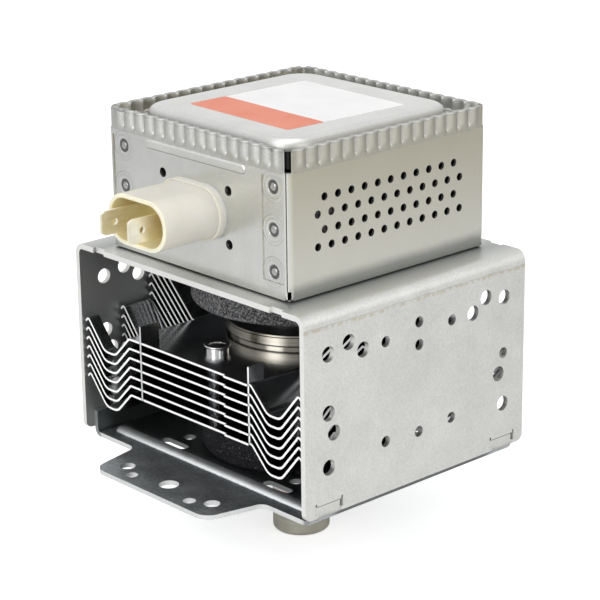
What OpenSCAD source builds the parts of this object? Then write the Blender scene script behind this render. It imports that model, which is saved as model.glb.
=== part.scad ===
// Cooker magnetron: a finned copper tube held between two ring magnets in a steel yoke,
// with a folded filter box above and the antenna below. All sizes are millimetres.
// The origin is the middle of the mounting face, on the axis of the tube.
// The connector points along -Y, the closed walls face +X and -X, and +Z is up.

/* [Yoke] */
// Outer width over the two side walls
yoke_w = 92; // [84:0.5:104]
// Depth of the walls, front to back
yoke_d = 81; // [74:0.5:92]
// Sheet thickness of the yoke
yoke_t = 1.5; // [1:0.1:2]
// Outer radius of the two upper bends
yoke_bend = 3; // [2.2:0.1:5]
// Radius of the lower wall corners
wall_corner_r = 2; // [1:0.1:4]
// Gap between the base plate's upper face and the lower edge of the walls
wall_lift = 1.4; // [0.5:0.1:2.5]
// Width of the small notches in the top plate's free edges
edge_notch_w = 4.5; // [2:0.1:8]
// Depth of those notches
edge_notch_depth = 1; // [0.5:0.1:2]
// Distance of those notches from the wall's outer face
edge_notch_inset = 8; // [6:0.1:12]

/* [Wall holes] */
// Large hole in a side wall
wall_hole_d = 4.2; // [3:0.1:5]
// Small hole in a side wall
wall_pilot_d = 3; // [2:0.1:4]
// Corner holes: distance from the wall's free edge
corner_hole_inset = 8.2; // [6:0.1:12]
// Upper corner holes: distance below the top face
corner_hole_drop = 11.3; // [9:0.1:14]
// Lower corner holes: height
corner_hole_rise = 15.5; // [13:0.1:18]
// Second upper holes: distance from the wall's free edge
second_hole_inset = 15.3; // [14:0.1:17]
// Second upper holes: distance below the top face
second_hole_drop = 9.8; // [8:0.1:12]
// Third upper holes: distance from the wall's free edge
third_hole_inset = 20.3; // [19:0.1:22]
// Third upper holes: distance below the top face
third_hole_drop = 13; // [10:0.1:15]
// Half the spacing of the inner screw holes
screw_hole_y = 12.2; // [10:0.1:14]
// Upper inner screw holes: distance below the top face
screw_hole_drop = 12.9; // [10:0.1:15]
// Lower inner screw holes: height
screw_hole_rise = 16.9; // [14:0.1:19]
// Upper middle hole: distance below the top face
middle_hole_drop = 10.5; // [8:0.1:12]
// Spacing of the two upper middle holes
middle_hole_gap = 6.2; // [5:0.1:8]
// Lower middle hole: height
middle_hole_rise = 16.3; // [14:0.1:19]
// Height of the waist holes
waist_hole_rise = 30.1; // [27:0.1:33]
// Height of the paired holes below the waist
pair_hole_rise = 24.5; // [21.5:0.1:26]
// Paired holes: distance from the wall's free edge
pair_hole_inset = 10; // [8:0.1:13]

/* [Stake marks] */
// Width of a pressed lock mark low on a wall
stake_w = 8.4; // [6:0.1:11]
// Height of the mark
stake_h = 3; // [2:0.1:4]
// Depth of the mark
stake_depth = 0.6; // [0.3:0.05:0.8]
// Distance of the mark from the wall's free edge
stake_inset = 4; // [3:0.1:8]

/* [Base plate] */
// Sheet thickness of the base plate
base_t = 1.3; // [1:0.1:1.8]
// Base plate edge behind the wall edge
base_setback = 2.9; // [1.5:0.1:4]
// Height of the upturned side flanges
base_flange_h = 7.4; // [5.5:0.1:9]
// Outer radius of the side bends
base_bend = 2.2; // [1.8:0.1:3.5]
// Length of the pressed stiffening bead
bead_l = 83; // [50:0.5:84]
// Width of the bead
bead_w = 4.2; // [2:0.1:5]
// Height of the bead
bead_h = 1.2; // [0.5:0.1:1.5]
// Distance of the bead from the plate's front edge
bead_inset = 5.7; // [4:0.1:7]
// Length of the vent slots
base_slot_l = 10.2; // [6:0.1:12]
// Width of the vent slots
base_slot_w = 3.1; // [1.5:0.1:3.5]
// Slot centre to the middle
base_slot_x = 21.3; // [18:0.1:26]
// Slot centre behind the plate's front edge
base_slot_inset = 9.8; // [8:0.1:11]
// Round hole beside each slot
base_hole_d = 3.6; // [2:0.1:5]
// Round hole to the middle
base_hole_x = 22; // [20.5:0.1:26]
// Round hole behind the plate's front edge
base_hole_inset = 15.8; // [14:0.1:17]

/* [Mounting flanges] */
// Width of a mounting flange at its root
flange_root_w = 52; // [46:0.5:60]
// Reach of a mounting flange from the plate's edge
flange_reach = 16.7; // [15:0.1:21]
// Narrowing of each side of the flange over its reach
flange_taper = 3; // [1:0.1:5]
// Radius of the outer corners
flange_corner_r = 4.5; // [3:0.1:6]
// Radius of the hollow corners at the root
flange_root_r = 3; // [2:0.1:5]
// Main mounting hole
mount_hole_d = 4.3; // [3.5:0.1:5]
// Main mounting holes, spacing across
mount_hole_w = 35.2; // [31:0.1:40]
// Main mounting holes, distance from the plate's edge
mount_hole_out = 9.7; // [8:0.1:11]
// Second mounting hole
pilot_hole_d = 3.4; // [2.5:0.1:4]
// Second mounting holes, spacing across
pilot_hole_w = 24; // [20:0.1:26]
// Second mounting holes, distance from the plate's edge
pilot_hole_out = 12.7; // [11:0.1:14]
// Middle hole of the flange
locating_hole_d = 5.4; // [4:0.1:7]

/* [Magnets] */
// Upper ring magnet diameter
upper_magnet_d = 58.6; // [52:0.2:62]
// Upper ring magnet height
upper_magnet_h = 11.8; // [10:0.1:14]
// Lower ring magnet diameter
lower_magnet_d = 54.6; // [50:0.2:58]
// Lower ring magnet height
lower_magnet_h = 12.2; // [10:0.1:14.5]
// Radius of the magnets' rounded edges
magnet_edge_r = 1.2; // [0.5:0.1:2]
// Clear gap between a magnet and the neck in its bore
magnet_clear = 1.1; // [0.5:0.1:2]
// Free height between the tube and the upper magnet
upper_gap = 5.7; // [4.5:0.1:8]

/* [Cooling fins] */
// Sheet thickness of a fin
fin_t = 0.6; // [0.4:0.05:0.8]
// Distance from one fin to the next
fin_pitch = 2.7; // [2.4:0.05:2.8]
// Fin edge behind the wall edge
fin_setback = 0.9; // [0.5:0.1:2]
// Gap between the fin ends and the walls
fin_wall_gap = 0.3; // [0.1:0.05:0.6]
// Reach of the wings and tongues past the flat middle
wing_reach = 19.2; // [17.5:0.1:20.5]
// Drop of the outer wings
wing_drop = 6.3; // [5:0.1:7.5]
// Flat at the bottom of a wing
wing_valley_w = 4.5; // [3:0.1:6]
// Rise of the second finger of a wing above the flat
wing_rise = 2.6; // [1.5:0.1:3.2]
// Rise of the front finger of a wing above the flat
front_wing_rise = 2; // [1:0.1:3]
// Radius of the bends at the bottom of a wing
fin_bend_r = 3; // [2:0.1:3.6]
// Inner edge of the wings, from the middle
wing_y = 18; // [17.5:0.1:20]
// Half width of the raised middle tongue
tongue_y = 17; // [15:0.1:17.3]
// Length of the hook at each tip
hook_l = 1.4; // [0.8:0.1:2.5]
// First edge of the clearance notch in a wing, from the fin's edge
wing_notch_y = 3.4; // [2:0.1:5]
// Width of that notch
wing_notch_w = 9; // [7:0.1:11]
// Drawn collar round the tube, height
fin_collar_h = 1; // [0.8:0.1:1.6]
// Small drawn spacer collar, diameter
eyelet_d = 6.2; // [5:0.1:8]
// Bore of the spacer collar
eyelet_bore = 4.8; // [3:0.1:5.2]
// Spacer collar behind the fin's edge
eyelet_inset = 10.2; // [8.5:0.1:12]
// Height of the folded ears on the top fin
ear_h = 4.4; // [3:0.1:6]
// Length of the side ear
side_ear_l = 5; // [3:0.1:7]
// Length of the left ear
left_ear_l = 6.3; // [3:0.1:8]
// Left ear from the side of the flat middle
left_ear_in = 4; // [1:0.1:8]
// Place of the small step in the fin's edge
edge_step_x = 15; // [12:0.1:18]
// Depth of that step
edge_step = 0.7; // [0.3:0.1:0.8]

/* [Anode] */
// Outer diameter of the anode tube
anode_d = 38; // [35:0.1:40]
// Bare length of the tube past the fin collars, at each end
anode_bare = 0.1; // [0.05:0.05:1]
// Wall of the anode tube
anode_t = 2; // [1.5:0.1:3]
// Circle that the vane tips lie on
vane_tip_d = 9.2; // [8.6:0.1:10]
// Thickness of a vane
vane_t = 1.8; // [1.2:0.1:2.2]
// Height of the vanes
vane_h = 9.4; // [8:0.1:11]
// Middle diameter of the strap rings
strap_d = 11.6; // [11:0.1:13]
// Width of a strap ring
strap_w = 0.8; // [0.5:0.05:1]
// Height of a strap ring
strap_h = 1.1; // [0.8:0.05:1.5]
// Free gap round a strap where it passes a vane
strap_clear = 0.4; // [0.2:0.05:0.5]

/* [Tube ends] */
// Reach of the seal flanges past the anode
seal_rim = 1; // [0.3:0.05:2]
// Thickness of the seal flanges
seal_flange_t = 1.2; // [0.8:0.05:1.6]
// Sheet of the seal shells
shell_t = 0.7; // [0.5:0.05:1]
// Thickness of the pole pieces
pole_t = 1.6; // [1.2:0.1:2.2]
// Depth of the pole funnels below their flange
pole_depth = 3.8; // [3:0.1:4.2]
// Hole through the pole funnels
pole_bore_d = 8.8; // [8:0.1:9.6]
// Flat face of a pole funnel
pole_face_d = 19; // [18:0.1:22]
// Upper shell: diameter of its step
dome_d = 28; // [26:0.2:32]
// Upper shell: height of its step
dome_h = 3.4; // [2.5:0.1:4.2]
// Upper neck diameter
upper_neck_d = 18.8; // [17:0.1:20]
// Height of the upper neck above the filter box floor
neck_rise = 3.2; // [2:0.1:5]
// Gap round the upper neck in the yoke and the box
neck_clear = 1.6; // [0.8:0.1:2.5]

/* [Cathode] */
// Height of the stem insulator
stem_h = 8; // [6:0.1:8.6]
// Thickness of the stem terminals
stem_terminal_t = 0.8; // [0.5:0.1:1.2]
// Diameter of the cathode leads
lead_d = 1.5; // [1:0.1:1.7]
// Offset of the side lead
side_lead_x = 2.5; // [2.2:0.05:2.7]
// Diameter of the end shields
shield_d = 7; // [6.6:0.1:7.6]
// Thickness of the end shields
shield_t = 1.4; // [1:0.1:1.8]
// Free gap between the centre lead and the upper shield
shield_clear = 0.3; // [0.2:0.05:0.5]
// Middle diameter of the filament helix
filament_d = 4; // [3.6:0.1:4.4]
// Filament wire
filament_wire = 0.6; // [0.4:0.05:0.8]
// Filament turns
filament_turns = 8; // [6:1:10]

/* [Antenna] */
// Lower neck diameter
lower_neck_d = 18; // [16.5:0.1:19.5]
// Gap round the lower neck in the base plate
lower_neck_clear = 1.2; // [0.6:0.1:2]
// Reach of the lower neck below the mounting face
neck_reach = 3; // [2.9:0.1:5]
// Antenna insulator diameter
antenna_ceramic_d = 17.4; // [16.9:0.1:18]
// Antenna insulator bore
antenna_ceramic_bore = 13; // [12:0.1:14]
// Antenna insulator height
antenna_ceramic_h = 8.9; // [7.5:0.1:12]
// Antenna cap diameter
antenna_cap_d = 16; // [15:0.1:16.8]
// Antenna cap sheet
antenna_cap_t = 0.6; // [0.4:0.05:1]
// Antenna cap height
antenna_cap_h = 12.5; // [11:0.1:15]
// Gap between the insulator and the cap's edge
antenna_cap_gap = 0.8; // [0.4:0.1:1]
// Height of the exhaust tube's flange
exhaust_flange_h = 2; // [1.4:0.1:3]
// Exhaust tube diameter
exhaust_d = 6.4; // [5:0.1:8]
// Exhaust tube length below its flange
exhaust_l = 7; // [5:0.1:8]
// Antenna lead diameter
antenna_lead_d = 1.8; // [1.2:0.1:2]
// Antenna lead offset at the vane
antenna_lead_x = 7.6; // [7.4:0.1:7.8]
// Gap round the antenna lead in the pole piece
antenna_lead_clear = 0.4; // [0.2:0.05:0.6]

/* [Mesh gasket] */
// Outer diameter of the gasket
gasket_d = 31; // [27:0.2:34]
// Gap between gasket and neck
gasket_clear = 0.2; // [0.1:0.05:0.5]
// Height of the gasket
gasket_h = 2.8; // [2:0.1:2.9]

/* [Filter box] */
// Width of the filter box
box_w = 71; // [66:0.2:76]
// Depth of the filter box
box_d = 71; // [66:0.2:76]
// Height of the filter box over its rim
box_h = 39; // [36:0.2:44]
// Sheet of the filter box
box_t = 0.8; // [0.6:0.05:1]
// Radius of the upright corners
box_corner_r = 1.6; // [1.5:0.1:3]
// Height of the fluted rim
flute_h = 5.5; // [4:0.1:7]
// Distance from one flute to the next
flute_pitch = 4.15; // [3.5:0.05:4.4]
// Radius of a flute
flute_r = 0.9; // [0.6:0.05:1.2]
// Depth of a flute
flute_depth = 0.42; // [0.2:0.02:0.5]
// Width of the gap at each rim corner
corner_gap_w = 1.7; // [1:0.1:2.4]
// Width of the fold relief at each foot corner
foot_gap_w = 1; // [0.6:0.1:1.6]
// Height of the fold relief
foot_gap_h = 2.2; // [1.6:0.1:3.5]
// Width of the open seam at the front corners
seam_w = 0.3; // [0.2:0.05:0.5]
// That seam from the side of the box
seam_in = 0.9; // [0.7:0.05:1.4]
// Perforation diameter
vent_d = 2.1; // [1.6:0.05:2.6]
// Perforation pitch along a row
vent_pitch = 4.65; // [4:0.05:4.9]
// Perforation pitch between rows
vent_row_pitch = 4.25; // [3.6:0.05:5]
// Top perforation row below the rim
vent_drop = 13.5; // [11:0.1:16]
// Width of the overlap strips on the front wall
strip_w = 9.7; // [8:0.1:11]
// Step between the strip and the front panel
strip_step = 0.3; // [0.15:0.05:0.4]
// Upper end of the strips below the rim
strip_drop = 7.2; // [6.5:0.1:9]
// Lower end of the strips above the floor
strip_rise = 4.5; // [3:0.1:6]
// Clinch joint ring diameter
clinch_d = 7; // [5:0.1:7.5]
// Radius of that ring's groove
clinch_groove_r = 0.25; // [0.15:0.01:0.3]
// Cup in the middle of a clinch joint, diameter
clinch_cup_d = 4; // [3:0.1:4.6]
// Button left standing in the cup, diameter
clinch_button_d = 1.8; // [1:0.1:2.6]
// Clinch joints from the side of the box
clinch_inset = 5.9; // [4.8:0.1:6.2]
// Top clinch joint below the rim
clinch_drop = 9.9; // [9:0.1:12]
// Distance between clinch joints
clinch_pitch = 11; // [9:0.1:11.5]
// Pressed bead on the front panel, length
panel_bead_l = 39; // [30:0.2:44]
// Pressed bead, width
panel_bead_w = 1.6; // [1:0.1:2.4]
// Pressed bead, height
panel_bead_h = 0.4; // [0.2:0.05:0.6]
// Pressed bead below the rim
panel_bead_drop = 7.4; // [6.8:0.1:9]

/* [Lid] */
// Sheet of the lid
lid_t = 0.6; // [0.4:0.05:0.8]
// Width of the channel between rim and plateau
channel_w = 3.4; // [2.8:0.1:5]
// Depth of that channel below the rim
channel_depth = 4.6; // [3.6:0.1:5.2]
// Plateau above the rim
plateau_rise = 0.5; // [0.2:0.1:1.5]
// Corner radius of the plateau
plateau_r = 9; // [7:0.1:14]
// Rounded upper edge of the plateau
plateau_edge_r = 3; // [2:0.1:3.4]
// Hollow radius at the foot of the plateau
plateau_foot_r = 1.2; // [0.6:0.1:1.3]
// Width of the paper label on the plateau
label_w = 40.2; // [30:0.2:44]
// Length of the paper label, front to back
label_l = 40.4; // [32:0.2:46]
// Thickness of the paper label
label_t = 0.1; // [0.05:0.01:0.2]
// Corner radius of the paper label
label_r = 0.8; // [0.4:0.1:2]
// Middle of the paper label to the right of the middle of the lid
label_right = 0.7; // [-2:0.1:2]
// Middle of the paper label in front of the middle of the lid
label_front = 0.5; // [-2:0.1:2]
// Turn of the label, stuck on a little askew
label_turn = -1.9; // [-3:0.1:3]

/* [Capacitor] */
// Height of the connector axis above the box floor
conn_rise = 17.8; // [17:0.1:20]
// Connector case width
case_w = 23.2; // [21:0.1:26]
// Connector case height
case_h = 13.4; // [12:0.1:15]
// Reach of the case from the box wall
case_l = 19.5; // [17:0.1:24]
// Wall of the case at its mouth
case_t = 1.1; // [0.8:0.05:1.5]
// Wall of the case at its root
case_root_t = 2; // [1.6:0.05:2.4]
// Floor of the connector socket
case_floor_t = 3; // [2:0.1:4]
// Shoulder at the root: length
shoulder_l = 2.2; // [1.5:0.1:3]
// Shoulder at the root: how far it stands out
shoulder_out = 0.7; // [0.4:0.1:1]
// Sheet of the ground plate
plate_t = 0.8; // [0.5:0.05:1]
// Width of the ground plate
plate_w = 34; // [31:0.2:38]
// Height of the ground plate
plate_h = 20; // [18:0.2:22]
// Rivet holes of the ground plate
rivet_d = 2.6; // [2:0.1:3.2]
// Rivet holes, spacing across
rivet_w = 26; // [25:0.1:29]
// Rivet holes, spacing up and down
rivet_h = 14.2; // [12:0.1:15]
// Length of the ceramic block
dielectric_l = 10; // [8.5:0.1:12]
// Part of the ceramic block outside the box wall
dielectric_out = 4; // [3:0.1:5]
// Length of the inner case from the ground plate
inner_case_l = 8; // [7.6:0.1:10]

/* [Terminal tabs] */
// Blade width
tab_w = 6.35; // [6:0.05:6.6]
// Blade thickness
tab_t = 0.8; // [0.6:0.05:1]
// Distance between the two blades
tab_pitch = 11; // [10.4:0.1:12]
// Reach of the blades past the case's mouth
tab_reach = 7; // [4:0.1:9]
// Chamfer at the blade's end
tab_chamfer = 1.3; // [0.8:0.1:1.8]
// Latch hole in the blade
tab_hole_d = 1.8; // [1.4:0.1:2.2]
// Latch hole from the blade's end
tab_hole_in = 4.2; // [3.5:0.1:5]
// Round stem of the terminal
tab_stem_d = 2.4; // [1.8:0.1:3]
// Stem past the inner case
tab_stem_out = 3; // [2:0.1:4]

/* [Chokes] */
// Choke wire
choke_wire = 1.4; // [1:0.1:1.5]
// Middle diameter of the choke winding
choke_d = 8.4; // [7.6:0.1:8.6]
// Turns of the winding
choke_turns = 8; // [6:1:9]
// Free gap between neighbouring turns
choke_turn_gap = 0.2; // [0.1:0.05:0.4]
// Straight lead at the capacitor end
choke_lead = 1.6; // [1:0.1:2.5]
// Gap between core and winding
choke_core_clear = 0.2; // [0.1:0.05:0.4]

/* [Hidden] */
$fn = 64;
eps = 0.02;
fin_count = 7;
vane_count = 10;
bend_steps = 4;

// Stack of heights, from the mounting face up
tube_z = base_t + lower_magnet_h;
seal_d = anode_d + 2 * seal_rim;
anode_z0 = tube_z + seal_flange_t + pole_t;
anode_h = (fin_count - 1) * fin_pitch + fin_t + 2 * (fin_collar_h + anode_bare);
anode_z1 = anode_z0 + anode_h;
tube_top = anode_z1 + pole_t + seal_flange_t;
upper_magnet_z = tube_top + upper_gap;
yoke_h = upper_magnet_z + upper_magnet_h + yoke_t;
wall_z0 = base_t + wall_lift;
wall_mid_z = (wall_z0 + yoke_h) / 2;

// Plan sizes that follow the yoke
wall_in_x = yoke_w / 2 - yoke_t;
edge_y = yoke_d / 2;
base_edge_y = edge_y - base_setback;
fin_edge_y = edge_y - fin_setback;
fin_tip_x = wall_in_x - fin_wall_gap;
fin_crest_x = fin_tip_x - wing_reach;
fin_mid_z = anode_z0 + anode_h / 2;
fin_gap = fin_pitch - fin_t;
fin_crest_r = fin_bend_r / 2;
fin_flat_x = fin_crest_x - fin_bend_r / 4;
hook_r = min(fin_t + 0.3, hook_l);
notch_mid_y = fin_edge_y - wing_notch_y - wing_notch_w / 2;

// Tube ends
neck_r = upper_neck_d / 2;
neck_hole_r = neck_r + neck_clear;
lower_neck_r = lower_neck_d / 2;
dome_top = tube_top + dome_h;
neck_top = yoke_h + box_t + neck_rise;
stem_top = neck_top + stem_h;
pole_cone_d = anode_d - 2 * anode_t - 4 * pole_t;

// Cathode
vane_z0 = fin_mid_z - vane_h / 2;
vane_z1 = fin_mid_z + vane_h / 2;
shield_z0 = vane_z0 - shield_t;
shield_z1 = vane_z1 + shield_t;
strap_r = strap_d / 2;

// Antenna
exhaust_z = -neck_reach - antenna_ceramic_h;
antenna_cap_z = exhaust_z - antenna_cap_gap - antenna_cap_h;

// Filter box
floor_z = yoke_h;
rim_z = floor_z + box_h;
flute_z = rim_z - flute_h;
front_y = -box_d / 2;
lid_out = box_t;
channel_z = rim_z - channel_depth;
plateau_z = rim_z + plateau_rise;
flutes_x = floor((box_w - 2 * box_corner_r - 2 * corner_gap_w) / flute_pitch);
flutes_y = floor((box_d - 2 * box_corner_r - 2 * corner_gap_w) / flute_pitch);

// Capacitor, along Y
conn_z = floor_z + conn_rise;
plate_y = front_y + box_t;
plate_in_y = plate_y + plate_t;
mouth_y = front_y - case_l;
socket_y = front_y - dielectric_out - case_floor_t;
dielectric_w = case_w - 2 * case_root_t;
dielectric_h = case_h - 2 * case_root_t;
inner_case_y = plate_in_y + inner_case_l;
stem_end_y = inner_case_y + tab_stem_out;
tab_end_y = mouth_y - tab_reach;
tab_x = tab_pitch / 2;

// Chokes, along Y from the capacitor's stems to the terminals of the tube
choke_pitch = choke_wire + choke_turn_gap;
choke_y = stem_end_y + choke_lead;
choke_l = choke_pitch * choke_turns;
choke_end_y = -stem_terminal_t / 2;

// Offsets a bent sheet's upper line by its thickness, with mitred corners
function unit(v) = v / norm(v);
function left_of(a, b) = [-(b - a)[1], (b - a)[0]] / norm(b - a);
function side_at(p, i) =
    let (last = len(p) - 1)
    let (n0 = left_of(p[max(i, 1) - 1], p[max(i, 1)]))
    let (n1 = left_of(p[min(i, last - 1)], p[min(i, last - 1) + 1]))
    (n0 + n1) / (1 + n0 * n1);
function sheet_outline(p, t) = concat(
    p,
    [for (i = [len(p) - 1:-1:0]) p[i] - t * side_at(p, i)]
);

// Rounds the inner points of a line: an arc of radius r[i] at each point i
function arc_at(a, b, c, r) =
    let (u = unit(a - b))
    let (v = unit(c - b))
    let (half = acos(u * v) / 2)
    let (mid = b + unit(u + v) * r / sin(half))
    let (from = b + u * r / tan(half) - mid)
    let (to = b + v * r / tan(half) - mid)
    [for (k = [0:bend_steps]) mid + r * unit(from * (1 - k / bend_steps) + to * k / bend_steps)];
function bent_line(p, r) = concat(
    [p[0]],
    [for (i = [1:len(p) - 2]) each arc_at(p[i - 1], p[i], p[i + 1], r[i])],
    [p[len(p) - 1]]
);

// Rounded rectangle, centred
module rounded(w, d, r) {
    square([w - 2 * r, d], center = true);
    square([w, d - 2 * r], center = true);
    for (x = [-1, 1], y = [-1, 1])
        translate([x * (w / 2 - r), y * (d / 2 - r)]) circle(r);
}

// Shape with round ends along X, centred
module obround(w, h) {
    square([w - h, h], center = true);
    for (x = [-1, 1])
        translate([x * (w - h) / 2, 0]) circle(h / 2);
}

// A plan shape stood up along Y, from y0 to y1, centred on height z
module along_y(y0, y1, z) {
    translate([0, y1, z])
        rotate([90, 0, 0])
            linear_extrude(y1 - y0)
                children();
}

// A round hole through both side walls
module wall_bore(y, z, d) {
    translate([0, y, z])
        rotate([0, 90, 0])
            cylinder(d = d, h = yoke_w + 2, center = true);
}

// A wire of round section along a path, given the path's points and cross directions
module wire(points, across, r, sides = 8) {
    n = len(points);
    ring = [for (i = [0:n - 1])
        let (t = unit(points[min(i + 1, n - 1)] - points[max(i - 1, 0)]))
        let (u = unit(across[i] - (across[i] * t) * t))
        let (v = cross(t, u))
        for (k = [0:sides - 1])
            points[i] + r * (u * cos(360 * k / sides) + v * sin(360 * k / sides))];
    skin = [for (i = [0:n - 2], k = [0:sides - 1], h = [0, 1])
        let (a = i * sides + k)
        let (b = i * sides + (k + 1) % sides)
        h == 0 ? [a, b, b + sides] : [a, b + sides, a + sides]];
    ends = [[for (k = [sides - 1:-1:0]) k], [for (k = [0:sides - 1]) (n - 1) * sides + k]];
    polyhedron(ring, concat(skin, ends), convexity = 8);
}

// Inverted U of the yoke: top plate and two side walls from one folded sheet
module yoke_profile() {
    w = yoke_w;
    r_in = yoke_bend - yoke_t;
    difference() {
        union() {
            translate([-w / 2, wall_z0]) square([w, yoke_h - wall_z0 - yoke_bend]);
            translate([-w / 2 + yoke_bend, wall_z0])
                square([w - 2 * yoke_bend, yoke_h - wall_z0]);
            for (x = [-1, 1])
                translate([x * (w / 2 - yoke_bend), yoke_h - yoke_bend]) circle(yoke_bend);
        }
        translate([-wall_in_x, wall_z0 - 1])
            square([2 * wall_in_x, yoke_h - yoke_bend - wall_z0 + 1]);
        translate([-wall_in_x + r_in, wall_z0 - 1])
            square([2 * (wall_in_x - r_in), yoke_h - yoke_t - wall_z0 + 1]);
        for (x = [-1, 1])
            translate([x * (wall_in_x - r_in), yoke_h - yoke_bend]) circle(r_in);
    }
}

// Cuts that round the free lower corners of the walls
module wall_corner_cut() {
    for (y = [-1, 1])
        translate([0, y * (edge_y - wall_corner_r), wall_z0 + wall_corner_r])
            rotate([0, 90, 0])
                linear_extrude(yoke_w + 2, center = true)
                    difference() {
                        translate([0, y > 0 ? 0 : -wall_corner_r - 1])
                            square([wall_corner_r + 1, wall_corner_r + 1]);
                        circle(wall_corner_r);
                    }
}

// Lock mark pressed into a wall over the base plate's side flange
module stake_cut() {
    slit = stake_depth;
    translate([yoke_w / 2 - stake_depth, 0, wall_z0 + eps])
        cube([stake_depth + 1, stake_w, stake_h]);
    for (y = [-slit, stake_w])
        translate([yoke_w / 2 - yoke_t - 1, y, wall_z0 + stake_h / 3])
            cube([yoke_t + 2, slit, stake_h]);
}

module yoke_frame() {
    inset = edge_y - corner_hole_inset;
    color([0.74, 0.75, 0.74])
        difference() {
            along_y(-edge_y, edge_y, 0) yoke_profile();
            translate([0, 0, yoke_h - yoke_t - 1])
                cylinder(r = neck_hole_r, h = yoke_t + 2);
            wall_corner_cut();
            for (y = [-1, 1]) {
                wall_bore(y * inset, yoke_h - corner_hole_drop, wall_hole_d);
                wall_bore(y * inset, corner_hole_rise, wall_hole_d);
                wall_bore(y * (edge_y - second_hole_inset), yoke_h - second_hole_drop, wall_hole_d);
                wall_bore(y * (edge_y - third_hole_inset), yoke_h - third_hole_drop, wall_hole_d);
                wall_bore(y * (edge_y - pair_hole_inset), pair_hole_rise, wall_hole_d);
                wall_bore(y * screw_hole_y, yoke_h - screw_hole_drop, wall_pilot_d);
                wall_bore(y * screw_hole_y, screw_hole_rise, wall_pilot_d);
                for (x = [-1, 1])
                    translate([x * (yoke_w / 2 - edge_notch_inset - edge_notch_w / 2),
                               y * edge_y, yoke_h - yoke_t / 2])
                        cube([edge_notch_w, 2 * edge_notch_depth, yoke_t + 2], center = true);
            }
            wall_bore(-inset, waist_hole_rise, wall_hole_d);
            wall_bore(inset, waist_hole_rise, wall_pilot_d);
            wall_bore(0, yoke_h - middle_hole_drop, wall_pilot_d);
            wall_bore(0, yoke_h - middle_hole_drop - middle_hole_gap, wall_pilot_d);
            wall_bore(0, middle_hole_rise, wall_pilot_d);
            for (x = [0, 1], y = [0, 1])
                mirror([x, 0, 0])
                    mirror([0, y, 0])
                        translate([0, edge_y - stake_inset - stake_w, 0])
                            stake_cut();
        }
}

// Shallow channel of the base plate, seen along Y
module base_profile() {
    r_in = base_bend - base_t;
    difference() {
        union() {
            translate([-wall_in_x, base_bend])
                square([2 * wall_in_x, base_flange_h - base_bend]);
            translate([-wall_in_x + base_bend, 0])
                square([2 * (wall_in_x - base_bend), base_flange_h]);
            for (x = [-1, 1])
                translate([x * (wall_in_x - base_bend), base_bend]) circle(base_bend);
        }
        translate([-wall_in_x + base_t, base_bend])
            square([2 * (wall_in_x - base_t), base_flange_h]);
        translate([-wall_in_x + base_bend, base_t])
            square([2 * (wall_in_x - base_bend), base_flange_h]);
        for (x = [-1, 1])
            translate([x * (wall_in_x - base_bend), base_bend]) circle(r_in);
    }
}

// Plan of one mounting flange, towards +Y
module flange_plan() {
    root_x = flange_root_w / 2;
    root_y = base_edge_y + flange_root_r;
    far_y = base_edge_y + flange_reach;
    slope = flange_taper / (flange_reach - flange_root_r);
    len_n = sqrt(1 + slope * slope);
    corner_y = far_y - flange_corner_r;
    corner_x = root_x - slope * (corner_y - root_y) - flange_corner_r * len_n;
    side = [corner_x + flange_corner_r / len_n, corner_y + slope * flange_corner_r / len_n];
    polygon([
        [-root_x, base_edge_y - 1], [root_x, base_edge_y - 1], [root_x, root_y], side,
        [corner_x, far_y], [-corner_x, far_y], [-side[0], side[1]], [-root_x, root_y],
    ]);
    for (x = [-1, 1]) {
        translate([x * corner_x, corner_y]) circle(flange_corner_r);
        difference() {
            translate([x * root_x, base_edge_y + flange_root_r / 2 - 0.5])
                square([2 * flange_root_r, flange_root_r + 1], center = true);
            translate([x * (root_x + flange_root_r), root_y]) circle(flange_root_r);
        }
    }
}

// Half round bead along X, with round ends
module bead_solid() {
    r = (bead_w * bead_w / 4 + bead_h * bead_h) / (2 * bead_h);
    half = bead_l / 2 - r;
    intersection() {
        translate([0, 0, base_t + bead_h - r])
            union() {
                rotate([0, 90, 0]) cylinder(r = r, h = 2 * half, center = true);
                for (x = [-1, 1])
                    translate([x * half, 0, 0]) sphere(r);
            }
        translate([-bead_l, -bead_w, base_t / 2]) cube([2 * bead_l, 2 * bead_w, base_t + bead_h]);
    }
}

module base_plate() {
    color([0.72, 0.73, 0.72])
        difference() {
            union() {
                along_y(-base_edge_y, base_edge_y, 0) base_profile();
                for (y = [0, 1])
                    mirror([0, y, 0]) {
                        linear_extrude(base_t) flange_plan();
                        translate([0, base_edge_y - bead_inset, 0]) bead_solid();
                    }
            }
            translate([0, 0, -1]) cylinder(r = lower_neck_r + lower_neck_clear, h = base_t + 2);
            for (y = [-1, 1])
                translate([0, y * base_edge_y, -1]) {
                    for (x = [-1, 1]) {
                        translate([x * mount_hole_w / 2, y * mount_hole_out, 0])
                            cylinder(d = mount_hole_d, h = base_t + 2);
                        translate([x * pilot_hole_w / 2, y * pilot_hole_out, 0])
                            cylinder(d = pilot_hole_d, h = base_t + 2);
                        translate([x * base_hole_x, -y * base_hole_inset, 0])
                            cylinder(d = base_hole_d, h = base_t + 2);
                        translate([x * base_slot_x, -y * base_slot_inset, 0])
                            linear_extrude(base_t + 2)
                                obround(base_slot_l, base_slot_w);
                    }
                    translate([0, y * mount_hole_out, 0])
                        cylinder(d = locating_hole_d, h = base_t + 2);
                }
        }
}

// Ring magnet with rounded edges
module ring_magnet(d, bore, h) {
    e = magnet_edge_r;
    color([0.13, 0.13, 0.14])
        rotate_extrude()
            translate([(d + bore) / 4, h / 2])
                rounded((d - bore) / 2, h, e);
}

module upper_magnet() {
    translate([0, 0, upper_magnet_z])
        ring_magnet(upper_magnet_d, upper_neck_d + 2 * magnet_clear, upper_magnet_h);
}

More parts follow.
